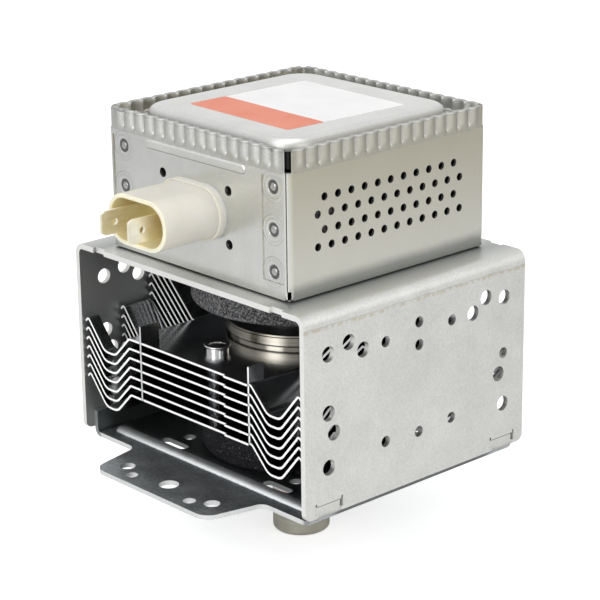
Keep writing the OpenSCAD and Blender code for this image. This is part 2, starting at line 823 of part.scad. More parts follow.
module lower_magnet() {
    translate([0, 0, base_t])
        ring_magnet(lower_magnet_d, lower_neck_d + 2 * magnet_clear, lower_magnet_h);
}

// Upper line of a wing: down to a valley, up to the wall, hooked at the tip
function wing_line(rise) = bent_line([
    [fin_crest_x - fin_bend_r, 0],
    [fin_crest_x, 0],
    [fin_crest_x + wing_drop, -wing_drop],
    [fin_crest_x + wing_drop + wing_valley_w, -wing_drop],
    [fin_tip_x - hook_l, rise],
    [fin_tip_x, rise - hook_l],
], [0, fin_crest_r, fin_bend_r, fin_bend_r, hook_r]);

// Upper line of the middle tongue: up at 45 degrees to the wall, hooked at the tip
function tongue_line() = bent_line([
    [fin_crest_x - fin_bend_r, 0],
    [fin_crest_x, 0],
    [fin_tip_x - hook_l, fin_tip_x - hook_l - fin_crest_x],
    [fin_tip_x, fin_tip_x - 2 * hook_l - fin_crest_x],
], [0, fin_crest_r, hook_r]);

// One cooling fin with its upper face at zero; ear is the height of the folded ears
module fin(ear) {
    notch_x = fin_crest_x + wing_drop + 0.65 * wing_valley_w;
    difference() {
        union() {
            translate([-fin_flat_x, -fin_edge_y, -fin_t])
                cube([2 * fin_flat_x, 2 * fin_edge_y, fin_t]);
            for (x = [0, 1])
                mirror([x, 0, 0])
                    along_y(-tongue_y, tongue_y, 0) polygon(sheet_outline(tongue_line(), fin_t));
            for (x = [0, 1], y = [0, 1])
                mirror([x, 0, 0])
                    mirror([0, y, 0]) {
                        along_y(notch_mid_y, fin_edge_y, 0)
                            polygon(sheet_outline(wing_line(front_wing_rise), fin_t));
                        along_y(wing_y, notch_mid_y, 0)
                            polygon(sheet_outline(wing_line(wing_rise), fin_t));
                    }
            cylinder(d = anode_d + 2 * fin_t, h = fin_collar_h);
            for (a = [0, 180])
                rotate([0, 0, a]) {
                    translate([0, -fin_edge_y + eyelet_inset, 0]) cylinder(d = eyelet_d, h = fin_gap);
                    translate([edge_step_x, -fin_edge_y - edge_step, -fin_t])
                        cube([fin_flat_x - edge_step_x, edge_step + 1, fin_t]);
                    translate([fin_flat_x - fin_t, -fin_edge_y, -fin_t])
                        cube([fin_t, side_ear_l, fin_t + ear]);
                    translate([left_ear_in - fin_flat_x, -fin_edge_y, -fin_t])
                        cube([fin_t, left_ear_l, fin_t + ear]);
                }
        }
        translate([0, 0, -fin_t - 1]) cylinder(d = anode_d, h = fin_t + fin_collar_h + 2);
        for (a = [0, 180])
            rotate([0, 0, a]) {
                translate([0, -fin_edge_y + eyelet_inset, -fin_t - 1])
                    cylinder(d = eyelet_bore, h = fin_pitch + 2);
                for (x = [0, 1])
                    mirror([x, 0, 0])
                        translate([notch_x, -fin_edge_y + wing_notch_y, -2 * wing_drop])
                            cube([yoke_w, wing_notch_w, 4 * wing_drop]);
            }
    }
}

// Fin number i, counted from below; the ears and collars of one bear on the next
module cooling_fin(i) {
    top = i == fin_count;
    color([0.80, 0.81, 0.82])
        translate([0, 0, fin_mid_z + (i - (fin_count + 1) / 2) * fin_pitch + fin_t / 2])
            fin(top ? ear_h : fin_gap);
}

// Copper anode: tube and radial vanes in one brazed block, with slots for the straps
module anode_block() {
    r_in = anode_d / 2 - anode_t;
    color([0.72, 0.45, 0.30])
        difference() {
            union() {
                translate([0, 0, anode_z0])
                    difference() {
                        cylinder(d = anode_d, h = anode_h);
                        translate([0, 0, -1]) cylinder(r = r_in, h = anode_h + 2);
                    }
                for (i = [0:vane_count - 1])
                    rotate([0, 0, 360 * i / vane_count])
                        translate([vane_tip_d / 2, -vane_t / 2, vane_z0])
                            cube([r_in + anode_t / 2 - vane_tip_d / 2, vane_t, vane_h]);
            }
            for (i = [0:vane_count - 1])
                rotate([0, 0, 360 * i / vane_count]) {
                    up = i % 2 == 0;
                    strap_slot(vane_z1, up ? 0 : strap_clear);
                    strap_slot(vane_z0, up ? strap_clear : 0);
                }
        }
}

// Slot of one strap across one vane, centred on an end face of the vanes
module strap_slot(z, clear) {
    wedge = 360 / vane_count;
    translate([0, 0, z - strap_h - clear])
        rotate([0, 0, -wedge / 2])
            rotate_extrude(angle = wedge)
                translate([strap_r - strap_w / 2 - clear, 0])
                    square([strap_w + 2 * clear, 2 * (strap_h + clear)]);
}

// Strap ring that joins every second vane
module strap_ring() {
    color([0.76, 0.50, 0.34])
        rotate_extrude()
            translate([strap_r - strap_w / 2, 0])
                square([strap_w, strap_h]);
}

module upper_strap_ring() {
    translate([0, 0, vane_z1 - strap_h]) strap_ring();
}

module lower_strap_ring() {
    translate([0, 0, vane_z0]) strap_ring();
}

// Iron funnel that leads the field into the tube, flange at zero, funnel below
module pole_piece() {
    color([0.55, 0.56, 0.58])
        rotate_extrude()
            polygon([
                [anode_d / 2, 0], [anode_d / 2, pole_t], [pole_cone_d / 2, pole_t],
                [pole_face_d / 2 - pole_t / 2, pole_t - pole_depth],
                [pole_bore_d / 2, pole_t - pole_depth], [pole_bore_d / 2, -pole_depth],
                [pole_face_d / 2, -pole_depth], [pole_cone_d / 2 + pole_t / 2, 0],
            ]);
}

module upper_pole_piece() {
    translate([0, 0, anode_z1]) pole_piece();
}

module lower_pole_piece() {
    difference() {
        translate([0, 0, anode_z0]) mirror([0, 0, 1]) pole_piece();
        translate([antenna_lead_x, 0, anode_z0 - pole_t])
            cylinder(d = antenna_lead_d + 2 * antenna_lead_clear, h = pole_t + pole_depth + 1);
    }
}

// Upper shell of the tube: flange round the pole piece, step, and neck into the box
module filament_seal() {
    pole_top = anode_z1 + pole_t;
    color([0.66, 0.67, 0.68])
        rotate_extrude()
            polygon([
                [anode_d / 2, anode_z1], [seal_d / 2, anode_z1], [seal_d / 2, tube_top],
                [dome_d / 2, tube_top], [dome_d / 2, dome_top], [neck_r, dome_top],
                [neck_r, neck_top], [neck_r - shell_t, neck_top],
                [neck_r - shell_t, dome_top - shell_t], [dome_d / 2 - shell_t, dome_top - shell_t],
                [dome_d / 2 - shell_t, pole_top], [anode_d / 2, pole_top],
            ]);
}

// Lower shell of the tube: flange on the magnet and neck through the base plate
module antenna_seal() {
    pole_low = anode_z0 - pole_t;
    color([0.66, 0.67, 0.68])
        rotate_extrude()
            polygon([
                [anode_d / 2, anode_z0], [anode_d / 2, pole_low],
                [lower_neck_r - shell_t, pole_low], [lower_neck_r - shell_t, -neck_reach],
                [lower_neck_r, -neck_reach], [lower_neck_r, tube_z],
                [seal_d / 2, tube_z], [seal_d / 2, anode_z0],
            ]);
}

module stem_ceramic() {
    color([0.93, 0.91, 0.87])
        translate([0, 0, neck_top])
            difference() {
                cylinder(r = neck_r, h = stem_h);
                for (x = [0, side_lead_x])
                    translate([x, 0, -1]) cylinder(d = lead_d, h = stem_h + 2);
            }
}

// Terminal plate on the stem with an upright lug for the choke lead
module stem_terminal(x0, x1, lug_x, lead_x) {
    color([0.70, 0.68, 0.62])
        difference() {
            union() {
                translate([0, 0, stem_top])
                    intersection() {
                        cylinder(r = neck_r, h = stem_terminal_t);
                        translate([x0, -neck_r, 0]) cube([x1 - x0, 2 * neck_r, stem_terminal_t]);
                    }
                translate([lug_x - choke_wire, -stem_terminal_t / 2, stem_top])
                    cube([2 * choke_wire, stem_terminal_t, conn_z + choke_wire - stem_top]);
            }
            translate([lead_x, 0, stem_top - 1]) cylinder(d = lead_d, h = stem_terminal_t + 2);
        }
}

module left_stem_terminal() {
    split = side_lead_x / 2;
    stem_terminal(-neck_r, split - stem_terminal_t / 4, -tab_x, 0);
}

module right_stem_terminal() {
    split = side_lead_x / 2;
    stem_terminal(split + stem_terminal_t / 4, neck_r, tab_x, side_lead_x);
}

// Filament: a tungsten helix between the two end shields
module filament_coil() {
    steps = 14;
    z0 = vane_z0 + filament_wire / 2;
    rise = vane_h - filament_wire;
    n = filament_turns * steps;
    color([0.45, 0.45, 0.48])
        wire(
            [for (i = [0:n]) [filament_d / 2 * cos(360 * i / steps),
                              filament_d / 2 * sin(360 * i / steps), z0 + rise * i / n]],
            [for (i = [0:n]) [cos(360 * i / steps), sin(360 * i / steps), 0]],
            filament_wire / 2, 6);
}

module upper_end_shield() {
    color([0.60, 0.61, 0.63])
        translate([0, 0, vane_z1])
            difference() {
                cylinder(d = shield_d, h = shield_t);
                translate([0, 0, -1])
                    cylinder(d = lead_d + 2 * shield_clear, h = shield_t + 2);
            }
}

module lower_end_shield() {
    color([0.60, 0.61, 0.63])
        translate([0, 0, shield_z0])
            difference() {
                cylinder(d = shield_d, h = shield_t);
                translate([0, 0, -1]) cylinder(d = lead_d, h = shield_t + 2);
            }
}

module centre_lead() {
    color([0.50, 0.51, 0.53])
        translate([0, 0, shield_z0])
            cylinder(d = lead_d, h = stem_top + stem_terminal_t - shield_z0);
}

module side_lead() {
    color([0.50, 0.51, 0.53])
        translate([side_lead_x, 0, shield_z1])
            cylinder(d = lead_d, h = stem_top + stem_terminal_t - shield_z1);
}

// Antenna lead: from a vane through the pole piece, then bent in to the exhaust tube
module antenna_lead() {
    steps = 10;
    bend_z = anode_z0 + pole_depth - pole_t;
    bend_l = bend_z + neck_reach;
    path = [for (i = [0:steps])
        let (g = i / steps)
        [antenna_lead_x * (1 - g * g * (3 - 2 * g)), 0, bend_z - bend_l * g]];
    points = concat([[antenna_lead_x, 0, vane_z0]], path, [[0, 0, exhaust_z]]);
    color([0.74, 0.48, 0.32])
        wire(points, [for (p = points) [0, 1, 0]], antenna_lead_d / 2, 12);
}

module antenna_ceramic() {
    color([0.88, 0.74, 0.72])
        translate([0, 0, exhaust_z])
            difference() {
                cylinder(d = antenna_ceramic_d, h = antenna_ceramic_h);
                translate([0, 0, -1]) cylinder(d = antenna_ceramic_bore, h = antenna_ceramic_h + 2);
            }
}

// Copper exhaust tube with its brazing flange and pinched end
module exhaust_tube() {
    color([0.72, 0.46, 0.31]) {
        translate([0, 0, exhaust_z - exhaust_flange_h])
            cylinder(d = antenna_cap_d - 2 * antenna_cap_t, h = exhaust_flange_h);
        translate([0, 0, exhaust_z - exhaust_flange_h - exhaust_l])
            intersection() {
                cylinder(d = exhaust_d, h = exhaust_l + exhaust_flange_h / 2);
                rotate([90, 0, 0])
                    linear_extrude(2 * exhaust_d, center = true)
                        polygon([
                            [-exhaust_d, 2 * exhaust_l], [exhaust_d, 2 * exhaust_l],
                            [exhaust_d, exhaust_l], [exhaust_d / 8, 0],
                            [-exhaust_d / 8, 0], [-exhaust_d, exhaust_l],
                        ]);
            }
    }
}

// Pressed cap over the exhaust tube, with a rounded lower edge
module antenna_cap() {
    r = antenna_cap_d / 2;
    e = 2 * antenna_cap_t;
    color([0.60, 0.57, 0.50])
        translate([0, 0, antenna_cap_z])
            rotate_extrude()
                difference() {
                    union() {
                        square([r - e, antenna_cap_h]);
                        translate([0, e]) square([r, antenna_cap_h - e]);
                        translate([r - e, e]) circle(e);
                    }
                    translate([0, antenna_cap_t])
                        square([r - e, antenna_cap_h]);
                    translate([0, e])
                        square([r - antenna_cap_t, antenna_cap_h]);
                    translate([r - e, e]) circle(e - antenna_cap_t);
                }
}

// Knitted mesh ring that seals the tube to the waveguide
module mesh_gasket() {
    r0 = lower_neck_r + gasket_clear;
    color([0.62, 0.62, 0.60])
        translate([0, 0, -gasket_h])
            rotate_extrude()
                translate([(r0 + gasket_d / 2) / 2, gasket_h / 2])
                    rounded(gasket_d / 2 - r0, gasket_h, gasket_h / 3);
}

// Plan of the fluted rim: a plain corner-rounded outline with round grooves
module rim_plan() {
    difference() {
        rounded(box_w, box_d, box_corner_r);
        rounded(box_w - 2 * box_t, box_d - 2 * box_t, box_corner_r - box_t);
        for (s = [-1, 1]) {
            for (i = [0:flutes_x - 1])
                translate([(i - (flutes_x - 1) / 2) * flute_pitch,
                           s * (box_d / 2 + flute_r - flute_depth)])
                    circle(flute_r);
            for (i = [0:flutes_y - 1])
                translate([s * (box_w / 2 + flute_r - flute_depth),
                           (i - (flutes_y - 1) / 2) * flute_pitch])
                    circle(flute_r);
        }
    }
}

// Upright gaps of width w at the four corners, from z0 to z1, through the sheet only
module corner_gap_cut(z0, z1, w) {
    reach = box_corner_r / 2 + box_t + lid_t;
    for (x = [-1, 1], y = [-1, 1])
        translate([x * box_w / 2, y * box_d / 2, z0])
            rotate([0, 0, atan2(y, x)])
                translate([-reach, -w / 2, 0])
                    cube([2 * reach, w, z1 - z0]);
}

// Ring joint pressed through the overlap of the front wall, cut from outside
module clinch_cut() {
    rotate_extrude()
        translate([clinch_d / 2, 0]) circle(clinch_groove_r);
    difference() {
        cylinder(d = clinch_cup_d, h = 2 * strip_step, center = true);
        cylinder(d = clinch_button_d, h = 4 * strip_step, center = true);
    }
}

// Outward rounding under the box floor along one pair of sides
module floor_edge_cut(span, half, turn) {
    r = 2 * box_t;
    for (s = [0, 180])
        rotate([0, 0, turn + s])
            translate([0, -half, floor_z])
                rotate([90, 0, 90])
                    linear_extrude(span + 2, center = true)
                        difference() {
                            translate([-1, -1]) square([r + 1, r + 1]);
                            translate([r, r]) circle(r);
                        }
}

// Folded filter box: floor, four walls, fluted rim, vents and clinched front corners
module filter_box() {
    strip_z0 = floor_z + strip_rise;
    strip_h = rim_z - strip_drop - strip_z0;
    color([0.78, 0.78, 0.77])
        difference() {
            union() {
                difference() {
                    translate([0, 0, floor_z])
                        linear_extrude(flute_z - floor_z)
                            rounded(box_w, box_d, box_corner_r);
                    translate([0, 0, floor_z + box_t])
                        linear_extrude(box_h)
                            rounded(box_w - 2 * box_t, box_d - 2 * box_t, box_corner_r - box_t);
                }
                translate([0, 0, flute_z]) linear_extrude(flute_h) rim_plan();
                along_y(front_y - panel_bead_h, front_y + box_t / 2, rim_z - panel_bead_drop)
                    obround(panel_bead_l, panel_bead_w);
            }
            floor_edge_cut(box_w, box_d / 2, 0);
            floor_edge_cut(box_d, box_w / 2, 90);
            corner_gap_cut(flute_z, rim_z + 1, corner_gap_w);
            corner_gap_cut(floor_z + box_t, floor_z + box_t + foot_gap_h, foot_gap_w);
            for (x = [-1, 1])
                translate([x * (box_w / 2 - seam_in) - seam_w / 2, front_y - box_t / 2,
                           floor_z + box_t + foot_gap_h])
                    cube([seam_w, box_t + seam_in / 4, flute_z - floor_z - box_t - foot_gap_h]);
            translate([0, 0, floor_z - 1]) cylinder(r = neck_hole_r, h = box_t + 2);
            along_y(front_y - 1, plate_y + 1, conn_z) obround(case_w, case_h);
            for (x = [-1, 1], z = [-1, 1])
                translate([x * rivet_w / 2, front_y, conn_z + z * rivet_h / 2])
                    rotate([90, 0, 0])
                        cylinder(d = rivet_d, h = 4 * box_t, center = true);
            for (x = [-1, 1]) {
                translate([x * (box_w / 2 - strip_w / 2 - box_corner_r / 2), front_y,
                           strip_z0 + strip_h / 2])
                    cube([strip_w - box_corner_r, 2 * strip_step, strip_h], center = true);
                for (i = [0:2])
                    translate([x * (box_w / 2 - clinch_inset), front_y + strip_step,
                               rim_z - clinch_drop - i * clinch_pitch])
                        rotate([90, 0, 0]) clinch_cut();
            }
            for (row = [0:3])
                for (i = [0:10 + row % 2])
                    translate([0, (i - (10 + row % 2) / 2) * vent_pitch,
                               rim_z - vent_drop - row * vent_row_pitch])
                        rotate([0, 90, 0])
                            cylinder(d = vent_d, h = box_w + 2, center = true);
        }
}

// Section of the lid's plateau against its corner axis: rounded top edge, hollow foot
module plateau_section(r, h, edge, foot) {
    square([r - edge, h]);
    square([r, h - edge]);
    translate([r - edge, h - edge]) circle(edge);
    difference() {
        translate([r - eps, 0]) square([foot + eps, foot]);
        translate([r + foot, foot]) circle(foot);
    }
}

// Plateau of the lid as a solid: that section run round a rectangle
module plateau_solid(w, d, r, h, edge, foot) {
    cx = w / 2 - r;
    cy = d / 2 - r;
    translate([-cx - eps, -cy - eps, 0]) cube([2 * cx + 2 * eps, 2 * cy + 2 * eps, h]);
    for (q = [0:3])
        rotate([0, 0, 90 * q]) {
            a = q % 2 == 0 ? cx : cy;
            b = q % 2 == 0 ? cy : cx;
            translate([a, b, 0])
                rotate_extrude(angle = 90)
                    intersection() {
                        plateau_section(r, h, edge, foot);
                        square([r + foot, h]);
                    }
            translate([a, b, 0])
                rotate([90, 0, 0])
                    linear_extrude(2 * b)
                        intersection() {
                            plateau_section(r, h, edge, foot);
                            square([r + foot, h]);
                        }
        }
}

// Pressed lid: fluted flange inside the rim, channel, and raised plateau
module filter_lid() {
    out_w = box_w - 2 * lid_out;
    out_d = box_d - 2 * lid_out;
    out_r = box_corner_r - box_t;
    top_w = out_w - 2 * lid_t - 2 * channel_w;
    top_d = out_d - 2 * lid_t - 2 * channel_w;
    color([0.80, 0.80, 0.79])
        difference() {
            union() {
                translate([0, 0, channel_z])
                    linear_extrude(rim_z - channel_z)
                        difference() {
                            rounded(out_w, out_d, out_r);
                            rounded(out_w - 2 * lid_t, out_d - 2 * lid_t, out_r - lid_t);
                        }
                translate([0, 0, channel_z])
                    linear_extrude(lid_t)
                        rounded(out_w, out_d, out_r);
                translate([0, 0, channel_z + lid_t])
                    plateau_solid(top_w, top_d, plateau_r, plateau_z - channel_z - lid_t,
                                  plateau_edge_r, plateau_foot_r);
                translate([0, 0, channel_z])
                    linear_extrude(rim_z - channel_z)
                        lid_ribs(out_w / 2 - lid_t, out_d / 2 - lid_t);
            }
            translate([0, 0, channel_z - eps])
                plateau_solid(top_w - 2 * lid_t, top_d - 2 * lid_t, plateau_r - lid_t,
                              plateau_z - channel_z - lid_t, plateau_edge_r - lid_t,
                              plateau_foot_r + lid_t);
            corner_gap_cut(channel_z + lid_t, rim_z - lid_t, corner_gap_w);
        }
}

module paper_label() {
    color([0.93, 0.92, 0.90])
        translate([label_right, -label_front, plateau_z])
            rotate([0, 0, label_turn])
                linear_extrude(label_t)
                    rounded(label_w, label_l, label_r);
}

// Inner half of the flutes, standing inward from the lid's flange
module lid_ribs(half_w, half_d) {
    sunk = flute_r - flute_depth;
    intersection() {
        square([2 * half_w, 2 * half_d], center = true);
        union() {
            for (s = [-1, 1]) {
                for (i = [0:flutes_x - 1])
                    translate([(i - (flutes_x - 1) / 2) * flute_pitch, s * (half_d + sunk)])
                        circle(flute_r);
                for (i = [0:flutes_y - 1])
                    translate([s * (half_w + sunk), (i - (flutes_y - 1) / 2) * flute_pitch])
                        circle(flute_r);
            }
        }
    }
}

// Moulded connector case: open mouth, socket floor, and a recess for the ceramic block
module capacitor_case() {
    color([0.93, 0.89, 0.78])
        difference() {
            union() {
                along_y(mouth_y, plate_y, conn_z) obround(case_w, case_h);
                along_y(front_y - shoulder_l, front_y, conn_z)
                    obround(case_w + 2 * shoulder_out, case_h + 2 * shoulder_out);
            }
            along_y(mouth_y - 1, socket_y, conn_z)
                obround(case_w - 2 * case_t, case_h - 2 * case_t);
            along_y(front_y - dielectric_out, plate_y + 1, conn_z)
                obround(dielectric_w, dielectric_h);
            stem_bores(socket_y - 1, front_y);
        }
}

// Bores for the two terminal stems between two places along Y
module stem_bores(y0, y1) {
    for (x = [-1, 1])
        translate([x * tab_x, y1, conn_z])
            rotate([90, 0, 0])
                cylinder(d = tab_stem_d, h = y1 - y0);
}

module capacitor_ground_plate() {
    color([0.76, 0.76, 0.74])
        difference() {
            along_y(plate_y, plate_in_y, conn_z) rounded(plate_w, plate_h, box_corner_r);
            along_y(plate_y - 1, plate_in_y + 1, conn_z) obround(dielectric_w, dielectric_h);
            for (x = [-1, 1], z = [-1, 1])
                translate([x * rivet_w / 2, plate_y, conn_z + z * rivet_h / 2])
                    rotate([90, 0, 0])
                        cylinder(d = rivet_d, h = 4 * plate_t, center = true);
        }
}

module capacitor_ceramic() {
    y0 = front_y - dielectric_out;
    color([0.62, 0.45, 0.32])
        difference() {
            along_y(y0, y0 + dielectric_l, conn_z) obround(dielectric_w, dielectric_h);
            stem_bores(y0 - 1, y0 + dielectric_l + 1);
        }
}

module capacitor_inner_case() {
    color([0.86, 0.80, 0.66])
        difference() {
            along_y(plate_in_y, inner_case_y, conn_z) obround(case_w, case_h);
            along_y(plate_in_y - 1, front_y - dielectric_out + dielectric_l, conn_z)
                obround(dielectric_w, dielectric_h);
            stem_bores(plate_in_y, inner_case_y + 1);
        }
}

// Terminal: flat blade with chamfered end and latch hole, and a round stem
module terminal_tab(x) {
    c = tab_chamfer;
    l = socket_y - tab_end_y;
    color([0.80, 0.74, 0.58])
        translate([x, 0, conn_z]) {
            difference() {
                translate([tab_t / 2, tab_end_y, 0])
                    rotate([0, -90, 0])
                        linear_extrude(tab_t)
                            polygon([
                                [-tab_w / 2, l], [-tab_w / 2, c], [-tab_w / 2 + c / 2, 0],
                                [tab_w / 2 - c / 2, 0], [tab_w / 2, c], [tab_w / 2, l],
                            ]);
                translate([0, tab_end_y + tab_hole_in, 0])
                    rotate([0, 90, 0])
                        cylinder(d = tab_hole_d, h = 2 * tab_t, center = true);
            }
            translate([0, stem_end_y, 0])
                rotate([90, 0, 0])
                    cylinder(d = tab_stem_d, h = stem_end_y - socket_y + tab_t);
        }
}

module left_terminal_tab() {
    terminal_tab(-tab_x);
}

module right_terminal_tab() {
    terminal_tab(tab_x);
}

// Choke winding: straight lead, spiral out, turns, spiral in, straight lead
module choke_coil(x) {
    steps = 14;
    n = (choke_turns + 1) * steps;
    half = steps / 2;
    turn_l = choke_l + choke_pitch;
    grow = [for (i = [0:n]) min(1, i / half, (n - i) / half)];
    rr = [for (g = grow) choke_d / 2 * g * g * (3 - 2 * g)];
    body = [for (i = [0:n]) [x + rr[i] * cos(360 * i / steps), choke_y + turn_l * i / n,
                             conn_z + rr[i] * sin(360 * i / steps)]];
    out = [for (i = [0:n]) [cos(360 * i / steps), 0, sin(360 * i / steps)]];
    color([0.70, 0.36, 0.20])
        wire(
            concat([[x, stem_end_y, conn_z]], body, [[x, choke_end_y, conn_z]]),
            concat([[1, 0, 0]], out, [[1, 0, 0]]),
            choke_wire / 2);
}

module left_choke_coil() {
    choke_coil(-tab_x);
}

module right_choke_coil() {
    choke_coil(tab_x);
}

// Ferrite rod inside the turns
module choke_core(x) {
    r = choke_d / 2 - choke_wire / 2 - choke_core_clear;
    inset = choke_pitch;
    color([0.20, 0.20, 0.21])
        translate([x, choke_y + choke_pitch / 2 + choke_l - inset / 2, conn_z])
            rotate([90, 0, 0])
                cylinder(r = r, h = choke_l - inset);
}

module left_choke_core() {
    choke_core(-tab_x);
}

module right_choke_core() {
    choke_core(tab_x);
}

yoke_frame();
base_plate();
upper_magnet();
lower_magnet();
cooling_fin(1);  // cooling_fin_1
cooling_fin(2);  // cooling_fin_2
cooling_fin(3);  // cooling_fin_3
cooling_fin(4);  // cooling_fin_4
cooling_fin(5);  // cooling_fin_5
cooling_fin(6);  // cooling_fin_6
cooling_fin(7);  // cooling_fin_7
anode_block();
upper_strap_ring();
lower_strap_ring();
upper_pole_piece();
lower_pole_piece();
filament_seal();
stem_ceramic();
left_stem_terminal();
right_stem_terminal();
filament_coil();
upper_end_shield();
lower_end_shield();
centre_lead();
side_lead();
antenna_seal();
antenna_lead();
antenna_ceramic();
exhaust_tube();
antenna_cap();
mesh_gasket();
filter_box();
filter_lid();
paper_label();
capacitor_case();
capacitor_ground_plate();
capacitor_ceramic();
capacitor_inner_case();
left_terminal_tab();
right_terminal_tab();
left_choke_coil();
right_choke_coil();
left_choke_core();
right_choke_core();
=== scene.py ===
# %% [markdown]
# # A cooker magnetron, dressed for its picture
# The tube that makes a kitchen oven hot is mostly sheet metal: an open steel yoke, seven pressed
# aluminium fins, two black ring magnets and a folded box with a crimped lid. All those solids come
# from the packed part and stay where they are. This lesson gives each of them a finish, and makes
# the pieces that look better as worked-out surfaces: the windings, the gasket's mesh, the pleated
# rim, the lid, the label and a few small pressings.

import math

import bmesh
import bpy
import numpy as np
from mathutils import Matrix, Vector


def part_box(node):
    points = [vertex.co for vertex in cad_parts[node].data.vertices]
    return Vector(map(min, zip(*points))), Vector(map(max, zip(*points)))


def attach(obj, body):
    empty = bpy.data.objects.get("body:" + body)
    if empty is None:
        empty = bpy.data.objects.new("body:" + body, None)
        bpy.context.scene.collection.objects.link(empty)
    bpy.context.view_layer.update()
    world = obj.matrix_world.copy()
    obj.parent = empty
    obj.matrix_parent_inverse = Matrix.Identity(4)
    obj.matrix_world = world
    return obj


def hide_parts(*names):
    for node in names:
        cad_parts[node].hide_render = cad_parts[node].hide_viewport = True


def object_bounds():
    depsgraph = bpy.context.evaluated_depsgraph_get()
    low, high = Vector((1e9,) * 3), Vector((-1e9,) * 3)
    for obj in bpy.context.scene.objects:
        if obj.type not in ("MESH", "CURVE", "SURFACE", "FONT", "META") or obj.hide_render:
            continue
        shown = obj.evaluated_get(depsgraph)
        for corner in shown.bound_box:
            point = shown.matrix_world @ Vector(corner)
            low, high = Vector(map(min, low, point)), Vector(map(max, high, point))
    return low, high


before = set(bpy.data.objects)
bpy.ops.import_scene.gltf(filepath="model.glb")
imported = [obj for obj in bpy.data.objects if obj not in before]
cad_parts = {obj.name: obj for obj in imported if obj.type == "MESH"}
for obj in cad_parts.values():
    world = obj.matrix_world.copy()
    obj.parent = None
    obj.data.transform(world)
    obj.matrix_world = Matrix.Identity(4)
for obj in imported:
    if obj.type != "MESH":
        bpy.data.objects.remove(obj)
scene = bpy.context.scene
cad_box = [list(corner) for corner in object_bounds()]
MM = 0.001
print("loaded", len(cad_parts), "solids; box in mm:",
      [[round(v / MM, 1) for v in corner] for corner in cad_box])

# %% [markdown]
# ## The camera
# The picture was taken with a long lens from the front right, a little above. A camera is three
# directions and a place: right, up, and back towards the photographer. They follow from the
# azimuth, the elevation and a small roll. The focal length is known in pixels of a 600 pixel
# frame, so the lens in millimetres is that share of Blender's 36 mm sensor. The optical axis
# misses the middle of the frame by a few pixels, which is what the two shifts are for.

# %% Camera at the photograph's angle
AIM = Vector((0.0, 0.0, 44.73)) * MM
DISTANCE = 590.04 * MM
AZIMUTH, ELEVATION, ROLL = (math.radians(a) for a in (47.63, 18.02, -0.73))
FRAME_PX, FOCAL_PX, SHIFT_PX = 600, 2165.4, (1.46, -10.58)
SENSOR = 36.0

back = Vector((math.sin(AZIMUTH) * math.cos(ELEVATION),
               -math.cos(AZIMUTH) * math.cos(ELEVATION), math.sin(ELEVATION)))
level = Vector((math.cos(AZIMUTH), math.sin(AZIMUTH), 0.0))
above = back.cross(level)
right = level * math.cos(ROLL) + above * math.sin(ROLL)
up = above * math.cos(ROLL) - level * math.sin(ROLL)

lens = bpy.data.cameras.new("camera")
lens.sensor_width = SENSOR
lens.lens = FOCAL_PX / FRAME_PX * SENSOR
lens.shift_x, lens.shift_y = (px / FRAME_PX for px in SHIFT_PX)
lens.clip_start, lens.clip_end = 0.01, 20.0
camera = bpy.data.objects.new("camera", lens)
scene.collection.objects.link(camera)
place = Matrix((right, up, back)).transposed().to_4x4()
place.translation = AIM + back * DISTANCE
camera.matrix_world = place
scene.camera = camera
print("camera: lens %.1f mm at %s" % (lens.lens, [round(v, 3) for v in place.translation]))

# %% [markdown]
# ## Surfaces from numpy
# A new piece is a grid of points: one parameter runs along it, the other round or across it. The
# faces of a grid are the same four neighbours everywhere, so they come from shifted index arrays,
# and a direction that closes on itself just wraps the index. Open ends of a wire get one flat face.

# %% Helpers for grid surfaces
def grid_faces(rows, columns, closed_rows=False):
    """Quads between neighbours of a grid: (i, j), (i, j+1), (i+1, j+1), (i+1, j). The columns close
    on themselves, and the rows do where asked."""
    index = np.arange(rows * columns).reshape(rows, columns)
    if closed_rows:
        index = np.vstack([index, index[:1]])
    index = np.hstack([index, index[:, :1]])
    quads = np.stack([index[:-1, :-1], index[:-1, 1:], index[1:, 1:], index[1:, :-1]], axis=-1)
    return quads.reshape(-1, 4).tolist()


def capped_faces(rows, columns):
    """A closed section carried along the rows, with one flat face on the first row and the last."""
    last = (rows - 1) * columns
    ends = [list(range(columns))[::-1], list(range(last, last + columns))]
    return grid_faces(rows, columns) + ends


def wire_grid(path, across, radius, sides):
    """Round wire: at each point of the path, a circle radius * (u cos a + v sin a), with u the part
    of the given cross direction that is square to the path and v square to both."""
    along = np.gradient(path, axis=0)
    along /= np.linalg.norm(along, axis=1, keepdims=True)
    u = across - (across * along).sum(1, keepdims=True) * along
    u /= np.linalg.norm(u, axis=1, keepdims=True)
    v = np.cross(along, u)
    angle = np.linspace(0.0, 2 * np.pi, sides, endpoint=False)[None, :, None]
    return path[:, None] + radius * (u[:, None] * np.cos(angle) + v[:, None] * np.sin(angle))


def wire_mesh_data(path, across, radius, sides, closed=False):
    """Points and faces of one wire; a closed wire joins its last circle to its first."""
    rows = len(path)
    faces = grid_faces(rows, sides, closed_rows=True) if closed else capped_faces(rows, sides)
    return wire_grid(path, across, radius, sides).reshape(-1, 3), faces


print("a tube of 3 rings with 4 points each has", len(grid_faces(3, 4)), "side faces")

# %% Helpers for pieces
SHARP_ANGLE = 48.0


